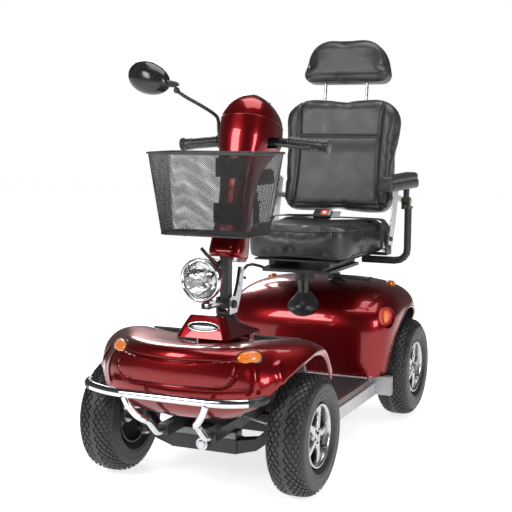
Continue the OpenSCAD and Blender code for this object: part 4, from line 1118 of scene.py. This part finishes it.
def make_basket():
    count, rows = 2 * 170, 84
    rings = [evenly(basket_ring(j / rows), count) for j in range(rows + 1)]
    side = Shape().add(diamond_net(rings))
    floor_rings = []
    low = rings[0]
    centre = sum(low, Vector()) / len(low)
    for k in range(56):
        t = 1 - k / 58
        floor_rings.append([Vector((centre.x + (p.x - centre.x) * t, centre.y + (p.y - centre.y) * t, 690.6))
                            for p in low])
    side.add(diamond_net(floor_rings))
    net = side.piece("basket_net", "basket_body", [WIRE], "wire_black", ("basket",), fix=False)
    loose = bmesh.new()
    loose.from_mesh(net.data)
    bmesh.ops.delete(loose, geom=[v for v in loose.verts if not v.link_faces], context="VERTS")
    bmesh.ops.remove_doubles(loose, verts=loose.verts, dist=0.00005)
    loose.to_mesh(net.data)
    loose.free()
    mod = net.modifiers.new("wire", "WIREFRAME")
    mod.thickness, mod.use_replace, mod.use_even_offset = 1.45 * MM, True, False
    bake_modifiers(net, 60)
    out = Shape()
    rim = [tuple(p) for p in slab_ring(160.5, 176.5, -553.5, -344.5, 33, 912.5, steps=10)]
    out.add(tube(rim + rim[:1], 3.6, 14, caps=False))
    low_rim = [tuple(p) for p in slab_ring(134, 148, -522, -378, 30, 691.5, steps=10)]
    out.add(tube(low_rim + low_rim[:1], 2.4, 12, caps=False))
    for x in (-38, 38):
        out.add(tube([(x, -345, 913), (x, -337, 912), (x, -331, 905), (x, -329, 893), (x, -329, 881)], 3.0,
                     12))
    for x in (-62, 62):
        out.add(tube([(x * 0.86, -521, 690), (x * 0.86, -378, 690)], 2.2, 10))
    out.piece("basket_frame", "basket_body", [WIRE], "wire_black")


# ---------------------------------------------------------------- upholstery

ON_BACK = place((0, 500, 600), x=-9.8)


def remeshed(shape, name, voxel):
    ob = shape.piece(name, None, [LEATHER], None)
    mod = ob.modifiers.new("even", "REMESH")
    mod.mode, mod.voxel_size = "VOXEL", voxel * MM
    bake_modifiers(ob, 180)
    ob.data.materials.clear()
    ob.data.materials.append(LEATHER)
    return ob


def inflate(ob, limit, pressure=4.0):
    """Blows the piece up as cloth, and caps how far a point may go."""
    rest = [v.co.copy() for v in ob.data.vertices]
    mod = ob.modifiers.new("cloth", "CLOTH")
    s = mod.settings
    s.quality, s.mass = 5, 0.3
    s.tension_stiffness = s.compression_stiffness = 15
    s.bending_stiffness = 6.0
    s.use_pressure, s.uniform_pressure_force = True, pressure
    s.effector_weights.gravity = 0
    for f in range(1, 21):
        scene.frame_set(f)
    bpy.context.view_layer.update()
    done = bpy.data.meshes.new_from_object(ob.evaluated_get(bpy.context.evaluated_depsgraph_get()))
    scene.frame_set(1)
    ob.modifiers.clear()
    ob.data = done
    for v, r in zip(done.vertices, rest):
        move = v.co - r
        if move.length > limit * MM:
            v.co = r + move.normalized() * limit * MM
    done.update()
    return ob


def relax(ob, times, subdivide=True):
    mod = ob.modifiers.new("even", "SMOOTH")
    mod.factor, mod.iterations = 0.5, times
    if subdivide:
        sub = ob.modifiers.new("fine", "SUBSURF")
        sub.levels = sub.render_levels = 1
    return bake_modifiers(ob, 180)


def clamp_box(ob, into, lo, hi, soft=9.0):
    """Eases the vertices into a box given in the frame of the matrix into (mm), with no flat spot."""
    def eased(c, a, b):
        if c < a + soft:
            return a + soft * math.exp((c - a - soft) / soft)
        if c > b - soft:
            return b - soft * math.exp((b - soft - c) / soft)
        return c

    back = into.inverted()
    for v in ob.data.vertices:
        p = back @ (v.co / MM)
        q = Vector([eased(c, a, b) for c, a, b in zip(p, lo, hi)])
        if q != p:
            v.co = (into @ q) * MM
    ob.data.update()


def pad_rings(w0, w1, h, t, r, e, q, steps=6):
    """A pad's outline at each level through its thickness t, with edges rounded by e."""
    turns = [PI / 2 * k / steps for k in range(steps + 1)]
    edge = [(e * (1 - math.sin(a)), e * (1 - math.cos(a))) for a in turns]
    levels = edge + [(i, t - z) for i, z in reversed(edge)]
    return [slab_ring(w0 - i, w1 - i, i, h - i, max(r - i * 0.3, 6), z, q=max(q - i * 0.3, 6), steps=8)
            for i, z in levels]


def surface_tree(ob):
    return BVHTree.FromPolygons([v.co for v in ob.data.vertices],
                                [tuple(p.vertices) for p in ob.data.polygons])


def upholster(ob, relief, body, node):
    """Presses the relief into the pad and puts it in place of its CAD node."""
    displace(ob, relief)
    soften(ob, 180)
    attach(ob, body)
    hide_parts(node)


def seam_lines(ob, into, lines, radius, mat, name, body, depth_from):
    """Lays a thin cord on the padded surface along lines of local (x, z), seen from local -Y."""
    tree = surface_tree(ob)
    out = Shape()
    way = (into.to_3x3() @ Vector((0, 1, 0))).normalized()
    for line in lines:
        pts = []
        for x, z in line:
            start = (into @ Vector((x, depth_from, z))) * MM
            hit = tree.ray_cast(start, way, 0.5)
            if hit[0] is not None:
                pts.append(hit[0] / MM - way * radius * 0.15)
        if len(pts) > 3:
            soft = [pts[0]] + [(a + b * 2 + c) / 4 for a, b, c in zip(pts, pts[1:], pts[2:])] + [pts[-1]]
            out.add(tube(soft, radius, 8))
    return out.piece(name, body, [mat], "seat_leather")


BACK_SEAMS = [spline([(-158, 488), (-152, 400), (-150, 330), (-150, 240), (-156, 150), (-166, 104)], 12),
              spline([(158, 488), (152, 400), (150, 330), (150, 240), (156, 150), (166, 104)], 12)]
BACK_FOLD = spline([(-151, 358), (-80, 357), (0, 356.5), (80, 357), (151, 358)], 14)


def back_relief(p, normal):
    local = ON_BACK.inverted() @ p
    front = smoothstep(0.2, 0.6, -(ON_BACK.inverted().to_3x3() @ normal).y)
    if front <= 0:
        return 0.0
    x, z = local.x, local.z
    d = 0.0
    for line in BACK_SEAMS:
        if abs(x - line[0][0]) < 45:
            d -= 4.2 * math.exp(-(line_distance((x, z), line) / 5.5) ** 2)
    inner = smoothstep(151, 140, abs(x))
    below = 357 - z
    d += inner * (5.5 * smoothstep(0, 5, below) * (1 - smoothstep(8, 60, below)))
    d -= inner * 5.0 * math.exp(-((z - 361) / 4.5) ** 2)
    bolster = smoothstep(150, 185, abs(x)) * (1 - smoothstep(196, 214, abs(x)))
    d += 5.0 * bolster * smoothstep(100, 160, z) * (1 - smoothstep(440, 490, z))
    d -= 3.6 * math.exp(-((z - (112 + 0.0002 * x * x)) / 4.0) ** 2) * smoothstep(206, 190, abs(x))
    return d * front


def make_backrest():
    at = ON_BACK @ place((0, 98.7, 88), x=90)
    shape = Shape().add(loft(pad_rings(202, 215, 409, 68, 44, 18, 86)), at=at @ place((0, 3, 4)))
    ob = remeshed(shape, "backrest_pad", 5)
    inflate(ob, 14)
    clamp_box(ob, ON_BACK, (-221, 19, 86), (221, 100.5, 505))
    relax(ob, 16)
    upholster(ob, back_relief, "backrest", "backrest_cushion")
    lines = [[(x, z) for x, z in line if 100 < z < 486] for line in BACK_SEAMS] + [BACK_FOLD]
    seam_lines(ob, ON_BACK, lines, 1.3, BLACK, "backrest_seams", "backrest", -60)


def edge_piping(ob, into, outline, radius, name, body):
    """Piping round a pad: each outline point (x, y, z) of the local frame is pulled to the surface."""
    tree = surface_tree(ob)
    pts = []
    for p in outline:
        near = tree.find_nearest((into @ Vector(p)) * MM)
        pts.append(near[0] / MM + near[1] * radius * 0.45)
    n = len(pts)
    for _ in range(6):
        pts = [(pts[i - 1] + pts[i] * 2 + pts[(i + 1) % n]) / 4 for i in range(n)]
    Shape().add(tube(pts + pts[:2], radius, 12, caps=False)).piece(name, body, [LEATHER], "seat_leather")


def make_headrest():
    at = ON_BACK @ place((0, 116, 554), x=90)
    shape = Shape().add(loft(pad_rings(160, 148, 155, 78, 32, 20, 88)), at=at @ place((0, 4, 5)))
    ob = remeshed(shape, "headrest_pad", 4.5)
    inflate(ob, 10)
    clamp_box(ob, ON_BACK, (-171, 25, 553), (171, 117.5, 719))
    relax(ob, 14)

    def relief(p, normal):
        local = ON_BACK.inverted() @ p
        front = smoothstep(0.15, 0.55, -(ON_BACK.inverted().to_3x3() @ normal).y)
        x, z = local.x, local.z
        d = -3.4 * math.exp(-((z - (582 + 0.0001 * x * x)) / 4.5) ** 2) * smoothstep(168, 150, abs(x))
        top = z - (690 - 0.0006 * x * x)
        d += 2.5 * math.exp(-(top / 16) ** 2) * smoothstep(150, 110, abs(x))
        return d * front

    upholster(ob, relief, "headrest", "headrest_cushion")
    ring = slab_ring(166, 154, 3, 160, 34, 0, q=92, steps=14)
    outline = [(x, 42, 554 + y) for x, y, _ in evenly(ring, 120)]
    edge_piping(ob, ON_BACK, outline, 2.4, "headrest_piping", "headrest")


def make_seat():
    rings = [(166, 182, 166, 552, 46, 551), (177, 193, 156, 559, 48, 558), (180, 197, 153, 562, 50, 590),
             (180, 197, 153, 562, 52, 632), (176, 194, 157, 560, 52, 650), (160, 178, 172, 545, 48, 660)]
    levels = spline([(a, b, c, d, r, z) for a, b, c, d, r, z in rings], 4)
    shape = Shape().add(loft([slab_ring(*l[:4], l[4], l[5], steps=10) for l in levels]))
    ob = remeshed(shape, "seat_pad", 5.5)
    inflate(ob, 12)
    clamp_box(ob, Matrix.Identity(4), (-203, 148, 550.4), (203, 567, 667))
    relax(ob, 10)

    def relief(p, normal):
        d = 0.0
        top = smoothstep(0.3, 0.8, normal.z)
        rim = min(188 - abs(p.x), p.y - 164)
        d -= 4.0 * top * math.exp(-((rim - 12) / 7) ** 2)
        dip = math.hypot(p.x / 190, (p.y - 400) / 260)
        d -= 7.0 * top * (1 - smoothstep(0.2, 0.9, dip))
        d += 2.2 * math.exp(-((p.z - 650) / 8) ** 2) * smoothstep(0.1, 0.5, abs(normal.x) + max(0, -normal.y))
        tuck = segment_distance((p.x, p.z), (128, 672), (128, 634))
        d -= 5.0 * math.exp(-(tuck / 4.0) ** 2) * smoothstep(0.3, 0.7, -normal.y)
        return d

    upholster(ob, relief, "seat", "seat_cushion")
    ring = slab_ring(180, 198, 152, 564, 54, 0, steps=14)
    for z, radius, name in ((655, 2.2, "seat_piping"), (558, 2.0, "seat_hem")):
        edge_piping(ob, Matrix.Identity(4), [(x, y, z) for x, y, _ in evenly(ring, 160)], radius, name,
                    "seat")


def make_armrests():
    for s, tag in ((1, "left"), (-1, "right")):
        rings = []
        for z, inset, r in ((776, 8, 12), (777.5, 4, 14), (781, 1.2, 15), (787, 0, 16), (799, 0.2, 16),
                            (804, 1.2, 16),
                            (807, 3.6, 15.5), (808.4, 4.4, 15.5), (811, 3.4, 15.5), (820, 3.6, 15),
                            (825.5, 6, 14),
                            (828.8, 10, 12), (830, 15, 9)):
            ring = slab_ring(28 - inset, 30 - inset, 264 + inset, 576 - inset, max(r - inset * 0.3, 5), z,
                             steps=9)
            rings.append([(x + s * 271, y, zz - 5 * smoothstep(330, 264, y) * (zz - 776) / 54)
                          for x, y, zz in ring])
        out = Shape().add(loft(rings), 0)
        out.add(slab((s * 284 - 8, 456, 728), (s * 284 + 8, 480, 779), 3), 1)
        out.add(rod(12, -8, 8, 32), 1, place((s * 284, 468, 735), y=90))
        ob = out.piece(f"arm_pad_{tag}", f"armrest_{tag[0]}", [ARM, PLASTIC], "arm_plastic",
                       (f"armrest_pad_{tag}",))
        bolt = Shape()
        for x in (s * 284 - 15.4, s * 284 + 15.4):
            bolt.add(button(8, 3, 2), 0, place((x, 468, 735), y=90))
        bolt.add(slab((s * 284 - 9, 440, 712), (s * 284 + 9, 462, 727), 3), 1)
        bolt.piece(f"arm_bolts_{tag}", "seat", [BRASS, BLACK], "steel_pin")


# The lap belt's route from anchor to anchor
BELT_PATH = [(-209, 478, 566), (-210, 474, 620), (-207, 468, 652), (-196, 462, 668), (-150, 452, 672),
             (-70, 444, 673), (-4, 442, 673), (70, 444, 673), (150, 452, 672), (196, 462, 668),
             (207, 468, 652),
             (210, 474, 620), (209, 478, 566)]


def ribbon(path, width, thick, lift=0.0):
    pts = [Vector(p) for p in spline(path, 10)]
    rings = []
    for i, p in enumerate(pts):
        t = (pts[min(i + 1, len(pts) - 1)] - pts[max(i - 1, 0)]).normalized()
        turn = smoothstep(665, 630, p.z) * math.copysign(0.62, p.x)
        across = Vector((turn, 1, 0)).normalized()
        across = (across - t * across.dot(t)).normalized()
        up = t.cross(across)
        if up.z < 0 or (abs(up.z) < 0.2 and up.x * p.x < 0):
            up = -up
        ring = []
        for k in range(13):
            a = -1 + 2 * k / 12
            ring.append(p + across * a * width + up * (lift + thick * (1 + 0.35 * (1 - a * a))))
        for k in range(13):
            a = 1 - 2 * k / 12
            ring.append(p + across * a * width + up * (lift - thick * 0.6))
        rings.append(ring)
    return loft(rings)


def make_belt():
    out = Shape().add(ribbon(BELT_PATH, 22, 1.1))
    out.add(ribbon([(-150, 452, 674.5), (-100, 447, 676), (-30, 440, 679)], 21, 1.1, 0.4))
    for s in (1, -1):
        out.add(turned([(0, -3), (8, -3), (9.5, -1), (9.5, 1), (8, 3), (0, 3)], 6), 1,
                place((s * 208, 478, 574), y=90))
        out.add(slab((s * 207 - 2, 462, 560), (s * 207 + 2, 494, 592), 1.2), 1)
    out.piece("belt", "seat", [BELT, ZINC], "belt_web", ("seat_belt",))
    lean = place((-4, 424, 664.5), x=35)
    box = Shape()
    rings = [slab_ring(33 - i, 33 - i, i, 38 - i, 7, z, steps=6) for i, z in
             ((2.5, 0.2), (0.5, 1.4), (0, 3.6), (0, 13.2), (0.8, 16), (2.6, 17.5))]
    box.add(loft(rings), at=lean)
    body = box.piece("buckle_box", "seat", [PLASTIC], "arm_plastic")
    carve(body, Shape().add(slab((-6, 6, 6.2), (20, 32, 40), 1), at=lean))
    out = Shape().add(slab((22, 3, 16.8), (32, 35, 18.8), 0.9), 0, lean)
    out.add(slab((32.5, 2, 5), (62, 36, 11), 2.4), 0, lean)
    frame_line = [(-7, 5, 17.6), (21, 5, 17.6), (21, 33, 17.6), (-7, 33, 17.6), (-7, 5, 17.6)]
    for a, b in zip(frame_line, frame_line[1:]):
        out.add(tube([lean @ Vector(a), lean @ Vector(b)], 1.1, 8), 1)
    out.piece("buckle_tongue", "seat", [GREY, BLACK], "belt_web")
    button = Shape().add(slab((-5.3, 6.7, 10.6), (19.3, 31.3, 17.6), 1.6), at=lean)
    button.add(slab((1.5, 13, 16.8), (12.5, 25, 18.4), 1.0), 1, lean)
    button.piece("buckle_press_pad", "buckle", [BUTTON, PALE], "button_red", ("buckle_button",))


# ---------------------------------------------------------------- carried-over CAD nodes

def finish_nodes():
    looks = {
        "main_frame": BLACK, "side_rails": RAIL, "floor_pan": BROWN, "batteries": BATTERY, "transaxle": STEEL,
        "seat_post": BLACK_GLOSS, "slide_lever": PLASTIC, "axle_beam": BLACK, "axle_pins": ZINC,
        "knuckle_left": BLACK, "knuckle_right": BLACK, "tie_rod_left": ZINC, "tie_rod_right": ZINC,
        "steering_column": BLACK, "tiller_frame": BLACK, "handlebar": BLACK, "tilt_lever": PLASTIC,
        "throttle_lever": PLASTIC, "key": ZINC, "speed_dial": PLASTIC, "horn_button": YELLOW,
        "basket_bracket": BLACK, "seat_base": BLACK, "swivel_lever": PLASTIC, "seat_frame": BLACK,
        "backrest_frame": ZINC, "headrest_posts": CHROME}
    edged = {"main_frame": 1.5, "side_rails": 1.2, "floor_pan": 1.5, "axle_beam": 2.0, "seat_base": 1.2,
             "seat_frame": 1.2, "basket_bracket": 0.8, "backrest_frame": 1.0, "tiller_frame": 1.5, "key": 0.8,
             "batteries": 3.0}
    for name, mat in looks.items():
        ob = NODES[name]
        if not ob.data.materials:
            ob.data.materials.append(mat)
        for k in range(len(ob.material_slots)):
            ob.material_slots[k].material = mat
        ob.data.shade_smooth()
        ob.data.set_sharp_from_angle(angle=math.radians(32))
        if name in edged:
            mod = ob.modifiers.new("edges", "BEVEL")
            mod.width, mod.segments, mod.limit_method = edged[name] * MM, 2, "ANGLE"
            mod.angle_limit = math.radians(50)


def make_hardware():
    """Axle box face, yoke plates, bolts and seat fixings laid over the CAD solids."""
    out = Shape()
    out.add(slab((-97, -510, 134), (97, -464, 157.5), 3))
    out.piece("axle_box_cover", "chassis", [STEEL], "rail_silver")
    nuts = Shape()
    nuts.add(button(12, 4, 2), 0, place((0, -525, 117), x=90))
    nuts.add(turned([(0, -2), (17, -2), (18, 0), (17, 2), (0, 2)], 40), 0, place((0, -521, 117), x=90))
    nuts.piece("axle_nut", "chassis", [ZINC], "steel_pin")
    yoke = Shape()
    plate = [(-386, 458), (-341, 458), (-306, 520), (-294, 579), (-315, 585), (-331, 540), (-351, 507),
             (-386, 505)]
    for s in (1, -1):
        rings = [[(s * x, y, z) for y, z in plate] for x in (21.2, 23.6)]
        yoke.add(loft(rings))
        for y, z, r in ((-312, 572, 5), (-322, 538, 4.5), (-344, 476, 5)):
            yoke.add(turned([(0, -1.5), (r, -1.5), (r * 1.15, 0), (r, 1.8), (0, 2.4)], 6), 0 if r < 5 else 1,
                     place((s * 24.2, y, z), y=s * 90))
        yoke.add(turned([(0, 0), (11, 0), (12, 2), (11, 6), (6, 8.5), (0, 9)], 32), 2,
                 place((s * 23.6, -366, 485), y=s * 90))
    yoke.piece("yoke_plates", "steering", [ZINC, BRASS, BLACK], "steel_pin")
    collar = Shape()
    collar.add(turned([(20.6, 505), (24, 505), (25.5, 500), (25.5, 482), (24, 478), (20.6, 478)], 40, True),
               at=place((0, 249, 0)))
    collar.piece("seat_collar", "seat_swivel_base", [BLACK_GLOSS], "frame_black")


make_camera()
make_studio()
make_floor()
make_fairing()
make_cowl()
make_lenses()
make_shroud()
make_boots()
make_mat()
make_bumper()
make_wheels()
make_tiller()
make_dash()
make_grips()
make_headlamp()
make_mirror()
make_basket()
make_backrest()
make_headrest()
make_seat()
make_armrests()
make_belt()
finish_nodes()
make_hardware()
scene.view_settings.view_transform = "Standard"
